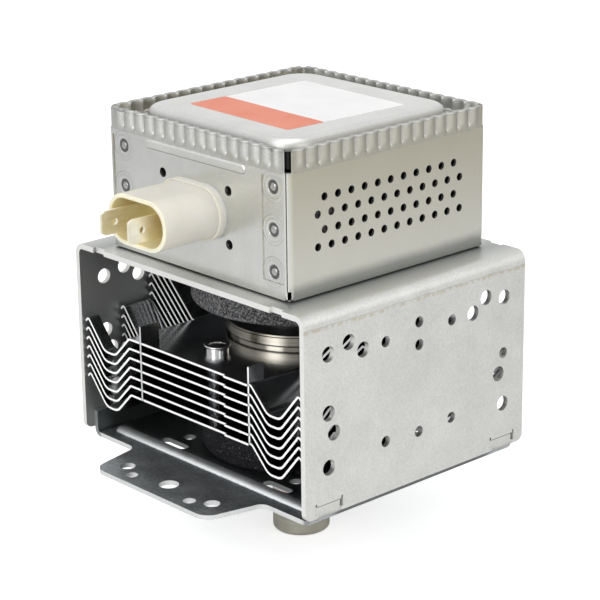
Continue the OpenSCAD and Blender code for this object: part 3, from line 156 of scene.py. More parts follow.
def new_piece(name, parts, slot, *nodes):
    """One object from several (points in mm, faces) parts. It rides on the body and stands for the
    nodes. The slot is not used. Folds sharper than SHARP_ANGLE degrees are shaded as edges."""
    points, faces, start = [], [], 0
    for part_points, part_faces in parts:
        points.append(part_points)
        faces += [[i + start for i in face] for face in part_faces]
        start += len(part_points)
    mesh = bpy.data.meshes.new(name)
    mesh.from_pydata((np.vstack(points) * MM).tolist(), [], faces)
    shell = bmesh.new()
    shell.from_mesh(mesh)
    bmesh.ops.recalc_face_normals(shell, faces=shell.faces)
    shell.to_mesh(mesh)
    shell.free()
    mesh.polygons.foreach_set("use_smooth", np.ones(len(mesh.polygons), dtype=bool))
    mesh.set_sharp_from_angle(angle=math.radians(SHARP_ANGLE))
    mesh.update()
    piece = bpy.data.objects.new(name, mesh)
    scene.collection.objects.link(piece)
    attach(piece, "root")
    if nodes:
        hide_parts(*nodes)
    print("%s: %d points, %d faces" % (name, len(mesh.vertices), len(mesh.polygons)))


def box_mm(node):
    """The lowest and highest corner of a solid, in millimetres."""
    low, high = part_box(node)
    return np.array(low) / MM, np.array(high) / MM


print("yoke from %s to %s mm" % box_mm("yoke_frame"))

# %% [markdown]
# ## The chokes
# Inside the box, each blade goes on into a coil of enamelled wire round a ferrite rod, which keeps
# the microwaves in. The centre line is a helix whose radius grows from nothing over the first half
# turn and shrinks over the last, so the straight leads run into it without a kink.

# %% Choke windings
CHOKE_TURNS, CHOKE_RADIUS, CHOKE_WIRE, CHOKE_PITCH, CHOKE_LEAD = 8, 4.2, 0.7, 1.6, 1.6
STEPS_PER_TURN = 36


def smooth_step(t):
    """3 t^2 - 2 t^3 between 0 and 1: starts and ends with no slope."""
    t = np.clip(t, 0.0, 1.0)
    return t * t * (3 - 2 * t)


def choke_path(low, high):
    """Lead, then x = r cos a, z = r sin a with y rising evenly, then lead, between the two ends."""
    turns = CHOKE_TURNS + 1
    angle = np.linspace(0.0, 2 * np.pi * turns, turns * STEPS_PER_TURN + 1)
    r = CHOKE_RADIUS * smooth_step(np.minimum(angle, angle[-1] - angle) / np.pi)
    middle = (low + high) / 2
    y = low[1] + CHOKE_LEAD + CHOKE_PITCH * angle / (2 * np.pi)
    coil = np.stack([middle[0] + r * np.cos(angle), y, middle[2] + r * np.sin(angle)], axis=1)
    out = np.stack([np.cos(angle), 0 * angle, np.sin(angle)], axis=1)
    ends = np.array([[middle[0], low[1], middle[2]], [middle[0], high[1], middle[2]]])
    return np.vstack([ends[:1], coil, ends[1:]]), np.vstack([out[:1], out, out[-1:]])


for side in ("left", "right"):
    node = side + "_choke_coil"
    line, cross = choke_path(*box_mm(node))
    new_piece(side + "_choke_winding", [wire_mesh_data(line, cross, CHOKE_WIRE, sides=12)],
              "enamelled_wire", node)

# %% [markdown]
# ## The filament and the antenna lead
# The heater in the middle of the tube is an eight-turn tungsten helix between two shields. The
# antenna lead starts at a vane off the axis, runs down through the pole piece and swings in to the
# exhaust tube. Both are wires again, with other centre lines.

# %% Filament helix
FILAMENT_TURNS, FILAMENT_RADIUS, FILAMENT_WIRE = 8, 2.0, 0.3
low, high = box_mm("filament_coil")
angle = np.linspace(0.0, 2 * np.pi * FILAMENT_TURNS, FILAMENT_TURNS * STEPS_PER_TURN + 1)
height = np.linspace(low[2] + FILAMENT_WIRE, high[2] - FILAMENT_WIRE, len(angle))
outward = np.stack([np.cos(angle), np.sin(angle), 0 * angle], axis=1)
helix = FILAMENT_RADIUS * outward + height[:, None] * np.array([0.0, 0.0, 1.0])
new_piece("filament_helix", [wire_mesh_data(helix, outward, FILAMENT_WIRE, sides=10)],
          "tungsten", "filament_coil")

# %% Antenna lead
LEAD_OFFSET, LEAD_RADIUS, LEAD_BEND_TOP, LEAD_BEND_END = 7.6, 0.9, 18.5, -3.0
low, high = box_mm("antenna_lead")
height = np.concatenate([[high[2]], np.linspace(LEAD_BEND_TOP, LEAD_BEND_END, 40), [low[2]]])
swing = smooth_step((LEAD_BEND_TOP - height) / (LEAD_BEND_TOP - LEAD_BEND_END))
lead = np.stack([LEAD_OFFSET * (1 - swing), 0 * height, height], axis=1)
sideways = np.tile([0.0, 1.0, 0.0], (len(lead), 1))
new_piece("antenna_lead_wire", [wire_mesh_data(lead, sideways, LEAD_RADIUS, sides=16)],
          "copper", "antenna_lead")

# %% [markdown]
# ## The mesh gasket
# A ring of knitted wire seals the tube to the oven's waveguide. Knitting is made of loops, and seen
# from a hand's breadth away it reads as two sets of fine wire winding round a ring in opposite
# directions. Each set is one closed line: an angle round the tube, and another that turns many
# times round the ring's own section while the first goes once.

# %% Mesh gasket
GASKET_TURNS, GASKET_WIRE, GASKET_INNER = 64, 0.17, 9.2
low, high = box_mm("mesh_gasket")
half_h = (high[2] - low[2]) / 2
half_w, ring_r = (high[0] - GASKET_INNER) / 2, (high[0] + GASKET_INNER) / 2
middle_z = low[2] + half_h


def ring_winding(turns, inset, steps):
    """rho = R + a cos(n t), z = b sin(n t) at angle t round the axis, a and b less by the inset."""
    t = np.linspace(0.0, 2 * np.pi, abs(turns) * steps, endpoint=False)
    section = turns * t
    rho = ring_r + (half_w - inset) * np.cos(section)
    z = middle_z + (half_h - inset) * np.sin(section)
    line = np.stack([rho * np.cos(t), rho * np.sin(t), z], axis=1)
    out = np.cos(section)
    return line, np.stack([out * np.cos(t), out * np.sin(t), np.sin(section)], axis=1)


def ring_body(inset, around, section_steps):
    """Torus of that section, as the packed inner wire: rows go round the axis and columns round the
    section, with rho = R + a cos s and z = b sin s."""
    t = np.linspace(0.0, 2 * np.pi, around, endpoint=False)[:, None]
    s = np.linspace(0.0, 2 * np.pi, section_steps, endpoint=False)[None, :]
    rho = ring_r + (half_w - inset) * np.cos(s)
    z = middle_z + (half_h - inset) * np.sin(s) + 0 * t
    grid = np.stack([rho * np.cos(t), rho * np.sin(t), z], axis=-1)
    return grid.reshape(-1, 3), grid_faces(around, section_steps, closed_rows=True)


windings = [wire_mesh_data(*ring_winding(turns, GASKET_WIRE, steps=16), GASKET_WIRE, sides=6,
                           closed=True) for turns in (GASKET_TURNS, -GASKET_TURNS - 1)]
packing = ring_body(2 * GASKET_WIRE, around=96, section_steps=20)
new_piece("knitted_gasket", windings + [packing], "wire_mesh", "mesh_gasket")

# %% [markdown]
# ## The crimped rim
# The box's upper edge and the lid's flange are crimped together into some sixty small pleats. A
# pleat is a round bulge, and two of them meet in a sharp valley: the absolute value of a sine, to a
# power a little under one. Each side is one strip, a closed section carried along the edge. The
# section's outer and inner faces both follow the pleats, so the sheet keeps its thickness, and
# the bulge dies away at the lower end, where the press did not reach.

# %% Measures of the box and its pleats
low, high = box_mm("filter_box")
BOX_HALF, RIM_TOP, FLOOR_TOP = high[0], high[2], low[2]
CHANNEL_TOP = RIM_TOP - 4.0
PLEAT_PITCH, LAST_VALLEY, STEPS_PER_PLEAT, RIM_STEPS = 4.15, 7, 12, 97
PLEAT_FOOT, PLEAT_FADE, END_FADE, CHANNEL_FADE = RIM_TOP - 5.6, 2.0, 1.6, 1.2
OUTER_PLAIN, OUTER_VALLEY, OUTER_RISE = 0.05, -0.38, 0.95
INNER_PLAIN, INNER_VALLEY, INNER_RISE = -0.95, -1.75, 0.85
OUTER_DROPS = np.array([5.7, 5.4, 5.1, 4.8, 4.4, 4.0, 3.4, 2.6, 1.6, 0.6, 0.15])
INNER_DROPS = np.array([0.6, 1.6, 2.5, 3.0, 3.5, 3.8, 4.1])
TUCK_IN, TUCK_DROP, CROWN_HEIGHT = 0.1, 5.8, 0.3
print("box: half width %.1f mm, from %.1f to %.1f mm" % (BOX_HALF, FLOOR_TOP, RIM_TOP))

# %% Crimped rim
def pleat(s):
    """|sin(pi s / pitch)| ^ 0.75: round bulges between sharp valleys."""
    return np.abs(np.sin(np.pi * s / PLEAT_PITCH)) ** 0.75


def lerp(first, second, share):
    """The first value at share 0, the second at share 1, and straight between them."""
    return first + (second - first) * share


def quarter_turns(x, y, turns):
    """Turns points about Z: each quarter turn takes (x, y) to (-y, x)."""
    for _ in range(turns):
        x, y = -y, x
    return x, y


def rim_strip(turn):
    """Closed section with rows along one side: out at (side, z), over the top, and in again. Its
    outer and inner faces are lerp(plain, pleated, fade), and turn counts quarter turns."""
    rows = np.arange(-RIM_STEPS, RIM_STEPS + 1)[:, None] * PLEAT_PITCH / STEPS_PER_PLEAT
    ends = 1 - smooth_step((np.abs(rows) - (LAST_VALLEY + 0.5) * PLEAT_PITCH) / END_FADE)
    bulge = pleat(rows)
    out_z, in_z = RIM_TOP - OUTER_DROPS[None], RIM_TOP - INNER_DROPS[None]
    out_fade = ends * smooth_step((out_z - PLEAT_FOOT) / PLEAT_FADE)
    in_fade = ends * smooth_step((in_z - CHANNEL_TOP) / CHANNEL_FADE)
    outer = lerp(OUTER_PLAIN, OUTER_VALLEY + OUTER_RISE * bulge, out_fade)
    inner = lerp(INNER_PLAIN, INNER_VALLEY + INNER_RISE * bulge, in_fade)
    xi = np.cos(np.linspace(0.0, np.pi, 11))[None, 1:-1]
    crown = lerp(inner[:, :1], outer[:, -1:], (xi + 1) / 2)
    crown_z = RIM_TOP - OUTER_DROPS[-1] + CROWN_HEIGHT * (1 - xi ** 4) ** 0.25
    side = BOX_HALF + np.hstack([np.full_like(rows, -TUCK_IN), outer, crown, inner])
    z = np.hstack([np.full((1, 1), RIM_TOP - TUCK_DROP), out_z, crown_z, in_z]) + 0 * rows
    x, y = quarter_turns(rows + 0 * side, -side, turn)
    return np.stack([x, y, z], axis=-1).reshape(-1, 3), capped_faces(*side.shape)


new_piece("crimped_rim", [rim_strip(turn) for turn in range(4)], "box_steel")

# %% [markdown]
# ## The bead on the front panel
# Under the rim a low bead is pressed into the front, so that the panel does not drum. Its section is
# half an ellipse, and towards both ends the width and the height shrink as a circle's chord does.

# %% Panel bead
BEAD_LENGTH, BEAD_HALF, BEAD_HEIGHT, BEAD_DROP = 39.6, 1.25, 0.48, 7.4


def pressed_bead(steps=48, columns=13):
    """x along the bead, z = half cos a and y = height sin a, both times the chord at x."""
    t = np.sin(np.linspace(-np.pi / 2, np.pi / 2, steps))[:, None] * (BEAD_LENGTH / 2 - 0.01)
    past = np.maximum(np.abs(t) - (BEAD_LENGTH / 2 - BEAD_HALF), 0.0) / BEAD_HALF
    chord = np.sqrt(1 - past ** 2)
    a = np.linspace(0.0, np.pi, columns)[None]
    y = -BOX_HALF + 0.03 - BEAD_HEIGHT * chord * np.sin(a)
    z = RIM_TOP - BEAD_DROP + BEAD_HALF * chord * np.cos(a)
    return np.stack([t + 0 * a, y, z], axis=-1).reshape(-1, 3), capped_faces(steps, columns)


new_piece("panel_bead", [pressed_bead()], "box_steel")

# %% [markdown]
# ## The clinch joints
# At the front corners the box is closed by clinching: a punch drives a small cup through both sheets,
# and the die leaves two low rings round it. That is a profile turned about an axis along Y, so a row
# of radii and a row of heights are enough for all six. The last two points go round behind, inside
# the sheet, which closes the shape.

# %% Clinch joints
CLINCH_IN, CLINCH_DROP, CLINCH_PITCH, STRIP_STEP = 5.9, 9.9, 11.0, 0.3
CLINCH_R = np.array([0.04, 0.5, 0.85, 0.97, 1.15, 1.5, 1.8, 2.05, 2.3, 2.65, 2.95, 3.2, 3.45,
                     3.75, 3.98, 4.15, 4.1, 0.04])
CLINCH_H = np.array([0.03, 0.03, 0.025, -0.02, -0.22, -0.27, -0.19, -0.01, 0.05, 0.05, 0.02, 0.02,
                     0.05, 0.05, 0.02, -0.06, -0.29, -0.29])


def turned_disc(x, z, sides=48):
    """x = r cos a, z = r sin a about the joint's middle, y = the strip's face less the height."""
    a = np.linspace(0.0, 2 * np.pi, sides, endpoint=False)[None]
    r, h = CLINCH_R[:, None], CLINCH_H[:, None]
    y = STRIP_STEP - BOX_HALF - h + 0 * a
    grid = np.stack([x + r * np.cos(a), y, z + r * np.sin(a)], axis=-1)
    return grid.reshape(-1, 3), capped_faces(len(CLINCH_R), sides)


new_piece("clinch_joints", [
    turned_disc(side * (BOX_HALF - CLINCH_IN), RIM_TOP - CLINCH_DROP - step * CLINCH_PITCH)
    for side in (-1, 1) for step in range(3)], "box_steel")

# %% [markdown]
# ## The eyelet lips
# Two spacer collars rise from every fin, through which the stack was once pinned. On the top fin
# their mouths are rolled outwards a little. The lip is a closed section turned about an upright axis.

# %% Eyelet lips
EYELET_Y, EYELET_TOP = 29.39, 36.3
LIP_R = np.array([2.36, 2.36, 2.45, 2.7, 3.0, 3.3, 3.52, 3.58, 3.5, 3.3, 3.15, 3.12, 2.8])
LIP_H = np.array([-1.0, -0.5, -0.2, 0.02, 0.1, 0.08, -0.02, -0.16, -0.3, -0.42, -0.6, -1.0, -1.05])


def turned_lip(y, sides=48):
    """x = r cos a and y = r sin a about the collar's axis, z = the collar's top plus the height."""
    a = np.linspace(0.0, 2 * np.pi, sides, endpoint=False)[None]
    r, h = LIP_R[:, None], LIP_H[:, None]
    grid = np.stack([r * np.cos(a), y + r * np.sin(a), EYELET_TOP + h + 0 * a], axis=-1)
    return grid.reshape(-1, 3), grid_faces(len(LIP_R), sides, closed_rows=True)


new_piece("eyelet_lips", [turned_lip(y) for y in (-EYELET_Y, EYELET_Y)], "fin_aluminium")

# %% [markdown]
# ## The fold at the floor
# The walls run down almost to the yoke and turn in with a tight fold, so a narrow black gap is left
# below them. A closed section with a small round at its lower edge is carried along each side.

# %% Floor fold
FOLD_R, FOLD_GAP, FOLD_HEIGHT, FOLD_DEPTH = 0.35, 0.38, 2.0, 1.0
FOLD_PROUD, FOLD_TUCK, CORNER_CUT = 0.015, 0.3, 1.62


def fold_strip(turn, steps=24):
    """Section (side, z): down the wall, a quarter circle inwards, back and up; turn is in quarters."""
    a = np.linspace(0.0, np.pi / 2, 7)
    face, top, low = BOX_HALF + FOLD_PROUD, FLOOR_TOP + FOLD_HEIGHT, FLOOR_TOP + FOLD_GAP + FOLD_R
    side = np.concatenate([[face - FOLD_TUCK, face], face - FOLD_R + FOLD_R * np.cos(a),
                           [face - FOLD_DEPTH, face - FOLD_DEPTH]])
    z = np.concatenate([[top, top - 0.02], low - FOLD_R * np.sin(a), [low - FOLD_R, top]])
    along = np.linspace(-1.0, 1.0, steps)[:, None] * (BOX_HALF - CORNER_CUT)
    x, y = quarter_turns(along + 0 * side[None], -side[None] + 0 * along, turn)
    grid = np.stack([x, y, z[None] + 0 * x], axis=-1)
    return grid.reshape(-1, 3), capped_faces(steps, len(side))


new_piece("floor_fold", [fold_strip(turn) for turn in range(4)], "box_steel")

# %% [markdown]
# ## The pressed lid
# Inside the rim the lid drops into a channel and rises again to a flat plateau with round edges.
# It is a section, too, but one that runs round a square: every point of the section is a half width,
# a height and a corner radius, and one function draws that rounded square for all of them at once.

# %% Rounded squares and arcs
def rounded_ring(half_x, half_y, radius, straight=9, corner=9):
    """Points round rounded rectangles, one row for each size: a straight side from -1 to 1 times
    (half - radius), then a quarter circle, four times over."""
    half_x, half_y, radius = (np.asarray(v, float)[:, None] for v in (half_x, half_y, radius))
    t = np.linspace(-1.0, 1.0, straight)[None]
    a = np.linspace(0.0, np.pi / 2, corner)[None, 1:-1]
    xs, ys = [], []
    for quarter in range(4):
        across, along = (half_x, half_y) if quarter % 2 == 0 else (half_y, half_x)
        x = np.hstack([(across - radius) * t, across - radius + radius * np.sin(a)])
        y = np.hstack([-along + 0 * t, radius - along - radius * np.cos(a)])
        x, y = quarter_turns(x, y, quarter)
        xs.append(x)
        ys.append(y)
    return np.hstack(xs), np.hstack(ys)


def arc(centre_h, centre_z, radius, start, end, steps):
    """Half widths and heights along an arc of the section, angles in degrees."""
    a = np.radians(np.linspace(start, end, steps))
    return centre_h + radius * np.cos(a), centre_z + radius * np.sin(a)


print("one rounded square has", rounded_ring([1], [1], [0.2])[0].size, "points")

# %% Pressed lid
LID_T, PLATEAU_HALF, PLATEAU_R, EDGE_R, FOOT_R = 0.6, 30.7, 9.0, 3.0, 1.2
WALL_IN, WALL_R, WALL_CORNERS = 2.2, 0.8, (1.2, 0.7)
RISE_IN, BACK_IN, RISE_START, RISE_DROP = 0.88, 0.84, 1.2, 0.2
plateau_z = box_mm("filter_lid")[1][2]
corner_axis = PLATEAU_HALF - PLATEAU_R
share = np.array([0.04, 0.3, 0.6, 0.85])
flat_h, flat_z = (PLATEAU_HALF - EDGE_R) * share, plateau_z + 0 * share
edge_h, edge_z = arc(PLATEAU_HALF - EDGE_R, plateau_z - EDGE_R, EDGE_R, 90, 0, 12)
foot_h, foot_z = arc(PLATEAU_HALF + FOOT_R, CHANNEL_TOP + FOOT_R, FOOT_R, 180, 270, 9)
wall_h, wall_z = arc(BOX_HALF - WALL_IN, CHANNEL_TOP + WALL_R, WALL_R, 270, 360, 7)
rise_h, rise_top = BOX_HALF - np.array([RISE_IN, RISE_IN, BACK_IN, BACK_IN]), RIM_TOP - RISE_DROP
rise_z = np.array([CHANNEL_TOP + RISE_START, rise_top, rise_top, CHANNEL_TOP - LID_T])
under_h = np.array([PLATEAU_HALF - LID_T, PLATEAU_HALF - LID_T, PLATEAU_HALF - EDGE_R, flat_h[0]])
under_z = np.array([CHANNEL_TOP - LID_T, plateau_z - EDGE_R, plateau_z - LID_T, plateau_z - LID_T])
lid_h = np.concatenate([flat_h, edge_h, foot_h, wall_h, rise_h, under_h])
lid_z = np.concatenate([flat_z, edge_z, foot_z, wall_z, rise_z, under_z])
flat_r, under_r = (PLATEAU_R - EDGE_R) * share, PLATEAU_R - LID_T
lid_r = np.concatenate([flat_r, edge_h - corner_axis, foot_h - corner_axis,
                        np.linspace(*WALL_CORNERS, len(wall_h)), np.full(4, WALL_CORNERS[1]),
                        [under_r, under_r, PLATEAU_R - EDGE_R, flat_r[0]]])
lid_x, lid_y = rounded_ring(lid_h, lid_h, lid_r)
lid_grid = np.stack([lid_x, lid_y, lid_z[:, None] + 0 * lid_x], axis=-1)
new_piece("pressed_lid", [(lid_grid.reshape(-1, 3), capped_faces(*lid_x.shape))], "box_steel",
          "filter_lid")

# %% [markdown]
# ## The label
# A sheet of coated paper lies on the lid, stuck on a little askew. Here it is left plain, in two
# colour fields. Paper never lies quite flat, so its top is a height over rings that shrink to the
# middle: the thickness, plus a slow ripple that fades towards the edges.

# %% Paper label
LABEL_HALF, LABEL_CORNER, LABEL_THICK, LABEL_RIPPLE = (20.1, 20.2), 0.8, 0.06, 0.03
LABEL_TURN, LABEL_FADE, RIPPLE_MM = math.radians(-1.9), (0.8, 0.18), (5.0, 6.0)
low, high = box_mm("paper_label")
middle = (low + high) / 2
reach = np.concatenate([np.linspace(0.03, 0.95, 24), [0.985, 1.0, 1.0]])
u, v = rounded_ring(*(size * reach for size in (*LABEL_HALF, LABEL_CORNER)), straight=25)
fade = 1 - smooth_step((reach[:, None] - LABEL_FADE[0]) / LABEL_FADE[1])
ripple = np.sin(u / RIPPLE_MM[0] + 0.6) * np.sin(v / RIPPLE_MM[1] + 0.2)
z = low[2] + LABEL_THICK + LABEL_RIPPLE * fade * ripple
z[-1] = low[2]
label_x = middle[0] + u * math.cos(LABEL_TURN) - v * math.sin(LABEL_TURN)
label_y = middle[1] + u * math.sin(LABEL_TURN) + v * math.cos(LABEL_TURN)
label_grid = np.stack([label_x, label_y, z], axis=-1)
new_piece("plain_label", [(label_grid.reshape(-1, 3), capped_faces(*u.shape))], "label_paper",
          "paper_label")

# %% [markdown]
# ## Finishes as expressions
# A finish is a node tree, and most of a tree is arithmetic. The class below wraps one output, a
# number that varies over the surface, so that Python's operators add the Math nodes. Every other
# node comes from one method, which takes the node's type, its settings and its inputs.

# %% Values that vary over a surface
class Field:
    """A number, colour or vector that varies over a surface: one output of a node."""

    def __init__(self, nodes, socket):
        self.nodes, self.socket = nodes, socket

    def math(self, operation, *others, clamp=False):
        """One Math node, with this value first and the others after it."""
        return self.nodes.add("ShaderNodeMath", dict(operation=operation, use_clamp=clamp),
                              dict(enumerate((self, *others))))

    def __add__(self, other):
        return self.math("ADD", other)

    def __sub__(self, other):
        return self.math("SUBTRACT", other)

    def __rsub__(self, other):
        return self.nodes.add("ShaderNodeMath", dict(operation="SUBTRACT"), {0: other, 1: self})

    def __mul__(self, other):
        return self.math("MULTIPLY", other)

    def __truediv__(self, other):
        return self.math("DIVIDE", other)

    def __abs__(self):
        return self.math("ABSOLUTE")

    __radd__, __rmul__ = __add__, __mul__

    def ramp(self, start, end):
        """0 below start, 1 above end, straight between; start may be the larger."""
        return (self - start).math("MULTIPLY", 1.0 / (end - start), clamp=True)


print("a Field has", ", ".join(name for name in vars(Field) if name.isalpha()))

# %% Node trees and finishes
class Nodes:
    """A node tree, with the one method that adds to it."""

    def __init__(self, tree):
        self.tree = tree

    def add(self, kind, settings=None, inputs=None, out=0):
        """A node of that type: its settings first, then its inputs' values or links."""
        node = self.tree.nodes.new(kind)
        for key, value in (settings or {}).items():
            setattr(node, key, value)
        for key, value in (inputs or {}).items():
            self.connect(value, node.inputs[key])
        return Field(self, node.outputs[out])

    def connect(self, value, socket):
        """Links a Field to the socket, or writes a plain value on it."""
        if isinstance(value, Field):
            self.tree.links.new(value.socket, socket)
        else:
            socket.default_value = value


class Finish(Nodes):
    """A node material with one Principled shader."""

    def __init__(self, name, **constants):
        self.material = bpy.data.materials.new(name)
        self.material.use_nodes = True
        super().__init__(self.material.node_tree)
        self.shader = self.tree.nodes["Principled BSDF"]
        self.set(**constants)
        self.spot = self.add("ShaderNodeTexCoord", out="Object")
        self.facing = self.add("ShaderNodeTexCoord", out="Normal")

    def set(self, **sockets):
        """Shader sockets by name, underscores for spaces: Base_Color=..., Roughness=..."""
        for key, value in sockets.items():
            self.connect(value, self.shader.inputs[key.replace("_", " ")])

    def axes(self, vector):
        """The X, Y and Z of a vector."""
        split = self.add("ShaderNodeSeparateXYZ", inputs={0: vector})
        return [Field(self, output) for output in split.socket.node.outputs]

    def spot_mm(self):
        """The X, Y and Z of the place on the object, in millimetres."""
        return [axis * 1000.0 for axis in self.axes(self.spot)]

    def noise(self, size_mm, stretch=(1, 1, 1), detail=3.0, rough=0.5):
        """Cloudy value from 0 to 1, in blotches about size_mm wide, longer where stretch is large."""
        scaled = self.add("ShaderNodeVectorMath", dict(operation="MULTIPLY"),
                          {0: self.spot, 1: tuple(1000.0 / (size_mm * s) for s in stretch)})
        return self.add("ShaderNodeTexNoise", inputs={
            "Vector": scaled, "Scale": 1.0, "Detail": detail, "Roughness": rough})

    def cells(self, size_mm):
        """Distance from the nearest of scattered points, about size_mm apart."""
        return self.add("ShaderNodeTexVoronoi",
                        inputs={"Vector": self.spot, "Scale": 1000.0 / size_mm})

    def blend(self, factor, first, second):
        """The first colour at factor 0, the second at factor 1."""
        return self.add("ShaderNodeMix", dict(data_type="RGBA"),
                        {0: factor, 6: first, 7: second}, out=2)

    def relief(self, height_mm, depth_mm):
        """Bump from a height of 0 to 1 that stands for depth_mm."""
        self.set(Normal=self.add("ShaderNodeBump", inputs={
            "Height": height_mm, "Distance": depth_mm * MM, "Strength": 1.0}))

    def tell(self, step):
        """Prints how far the tree has grown."""
        print("%s, %s: %d nodes" % (self.material.name, step, len(self.tree.nodes)))


print("a Finish has", ", ".join(name for name in vars(Finish) if name[0] != "_"))

# %% [markdown]
# ## Zinc-plated sheet: the yoke
# The thick sheet has a satin zinc coat: pale warm grey, a little cloudy, with fine grains where the
# crystals end. Where the bend begins, the press has left a scuffed line with a little straw colour,
# and a thin line of painted shade runs just above it. A short dark line of painted shade stands over
# each lock mark, at its step. The walls are painted darker inside and underneath, as shade, and the
# top plate is painted darker beside the box, as a reflection of the box's side. The sheared edges face
# front and back, and are brighter.

# %% Satin zinc: the sheet
def rgb(red, green, blue):
    """A colour in linear light, opaque."""
    return (red, green, blue, 1.0)


def grey(level):
    """A colour without hue."""
    return rgb(level, level, level)


zinc = Finish("satin_zinc", Metallic=0.8)
cloud, patch = zinc.noise(7.0), zinc.noise(24.0, detail=2.0)
grain = zinc.noise(0.55, rough=0.6)
nx, ny, nz = zinc.axes(zinc.facing)
x, y, z = zinc.spot_mm()
tone = cloud * 0.22 + patch * 0.23 + grain * 0.55
sheet = zinc.blend(tone.ramp(0.28, 0.72), rgb(0.53, 0.535, 0.51), rgb(0.75, 0.75, 0.72))
zinc.tell("sheet")

# %% Satin zinc: press marks
low, high = box_mm("yoke_frame")
BEND_LINE, LOCK_TOP, LOCK_MIDDLE, LOCK_HALF = high[2] - 4.2, low[2] + 3.0, 32.3, 4.5
outer_wall = abs(nx).ramp(0.9, 0.97)
bend, waver = z - BEND_LINE, cloud - 0.5
scuff = abs(bend + waver * 1.6).ramp(0.7, 0.1) * zinc.noise(1.6).ramp(0.42, 0.58)
sheet = zinc.blend(scuff * 0.7, sheet, rgb(0.50, 0.43, 0.29))
# Painted shade: a thin dark line just above the bend.
crease_shade = abs(bend - 0.5 + waver).ramp(0.28, 0.08) * outer_wall
sheet = zinc.blend(crease_shade * 0.35, sheet, rgb(0.34, 0.34, 0.32))
# Painted shade: a short dark line over each lock mark, at its step.
lock = abs(z - LOCK_TOP).ramp(0.26, 0.14) * outer_wall
lock = lock * abs(abs(y) - LOCK_MIDDLE).ramp(LOCK_HALF, LOCK_HALF - 0.3)
sheet = zinc.blend(lock * 0.85, sheet, grey(0.06))
zinc.tell("press marks")


# %% Satin zinc: shade and edges
def dress(finish, *names):
    """Puts a finish on CAD solids or new pieces, in place of what they came with."""
    for name in names:
        made = bpy.data.objects.get(name)
        mesh = made.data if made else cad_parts[name].data
        mesh.materials.clear()
        mesh.materials.append(finish.material)
    finish.tell("on %d pieces" % len(names))


# Painted shade: faces turned in towards the middle and faces turned down are darker.
inward = (nx * x).ramp(0.0, -20.0).math("MAXIMUM", nz.ramp(-0.6, -0.9))
sheet = zinc.blend(inward, sheet, rgb(0.34, 0.35, 0.345))
# Painted reflection: the top plate is darker beside the box, which it mirrors.
from_box = abs(x) - BOX_HALF
reflection_beside_box = from_box.ramp(11.0, 1.0) * from_box.ramp(-7.0, 1.0) * nz.ramp(0.2, 0.8)
sheet = zinc.blend(reflection_beside_box * 0.8, sheet, rgb(0.27, 0.285, 0.28))
sheared = abs(ny).ramp(0.85, 0.98)
zinc.set(Base_Color=zinc.blend(sheared * 0.8, sheet, rgb(0.80, 0.80, 0.78)),
         Roughness=0.32 + cloud * 0.08 + grain * 0.10 + sheared * 0.08)
zinc.relief(grain, 0.035)
dress(zinc, "yoke_frame")

# %% [markdown]
# ## Blue zinc: the base plate
# The base plate is of another sheet, darker and bluish, with a fine spangle. It is smoother than the
# yoke, so it mirrors the dark inside. Its bead is painted pale as a highlight, and so are its cut
# edges and the walls of its holes, painted as the light they catch; the upturned sides and the middle
# are painted dark as shade.

# %% Blue zinc
PLATE_TOP, PLATE_SIDE, SHADE_START, SHADE_FULL = 1.3, 42.0, 31.0, 27.0
blue = Finish("blue_zinc", Metallic=1.0)
spangle, cloud, grain = blue.cells(1.1), blue.noise(6.0), blue.noise(0.6, rough=0.6)
nx, ny, nz = blue.axes(blue.facing)
x, y, z = blue.spot_mm()
upright = abs(nz).ramp(0.5, 0.2)
inward = (nx * x).ramp(-5.0, -20.0)
tone = spangle * 0.25 + cloud * 0.3 + grain * 0.45
sheet = blue.blend(tone.ramp(0.3, 0.65), rgb(0.40, 0.43, 0.455), rgb(0.72, 0.755, 0.775))
# Painted shade on the upturned sides' cut edges; the other cut edges and hole walls are painted pale
# as caught light.
cut = blue.blend(abs(x).ramp(PLATE_SIDE - 0.5, PLATE_SIDE + 0.5),
                 rgb(0.66, 0.67, 0.66), rgb(0.22, 0.225, 0.22))
sheet = blue.blend(upright * 0.85, sheet, cut)
# Painted highlight: the bead is paler.
bead = z.ramp(PLATE_TOP + 0.05, PLATE_TOP + 0.3) * abs(x).ramp(PLATE_SIDE + 0.6, PLATE_SIDE)
sheet = blue.blend(bead * 0.7, sheet, rgb(0.86, 0.88, 0.88))
# Painted shade: the middle and the inward faces are near black.
within = abs(y).ramp(SHADE_START, SHADE_FULL).math("MAXIMUM", inward)
blue.set(Base_Color=blue.blend(within * 0.85, sheet, rgb(0.10, 0.11, 0.11)),
         Roughness=0.27 + cloud * 0.12 + grain * 0.10 + upright * 0.12 + bead * 0.1,
         Metallic=1.0 - upright * (1 - inward) * 0.5)
blue.relief(grain * 0.7 + spangle * 0.3, 0.02)
dress(blue, "base_plate")

# %% [markdown]
# ## Bright zinc: filter box, rim and lid
# The thin box sheet is shinier. Its side walls carry a straw tint, deeper towards the rim, which is a
# painted reflection. Fine upright drawing lines run through it. The tint follows the way a face looks,
# so it stays on the sides whatever the camera does.

# %% Bright zinc: the tinted sheet
bright = Finish("bright_zinc", Metallic=0.9)
cloud, grain = bright.noise(9.0), bright.noise(0.6, rough=0.6)
drawn, smudge = bright.noise(0.45, stretch=(1, 1, 40), detail=2.0), bright.noise(1.5)
nx, ny, nz = bright.axes(bright.facing)
x, y, z = bright.spot_mm()
side_face = abs(nx).ramp(0.6, 0.95)
upward = z.ramp(FLOOR_TOP, RIM_TOP)
plain = bright.blend((cloud * 0.5 + grain * 0.5).ramp(0.3, 0.7),
                     rgb(0.56, 0.565, 0.545), rgb(0.70, 0.705, 0.68))
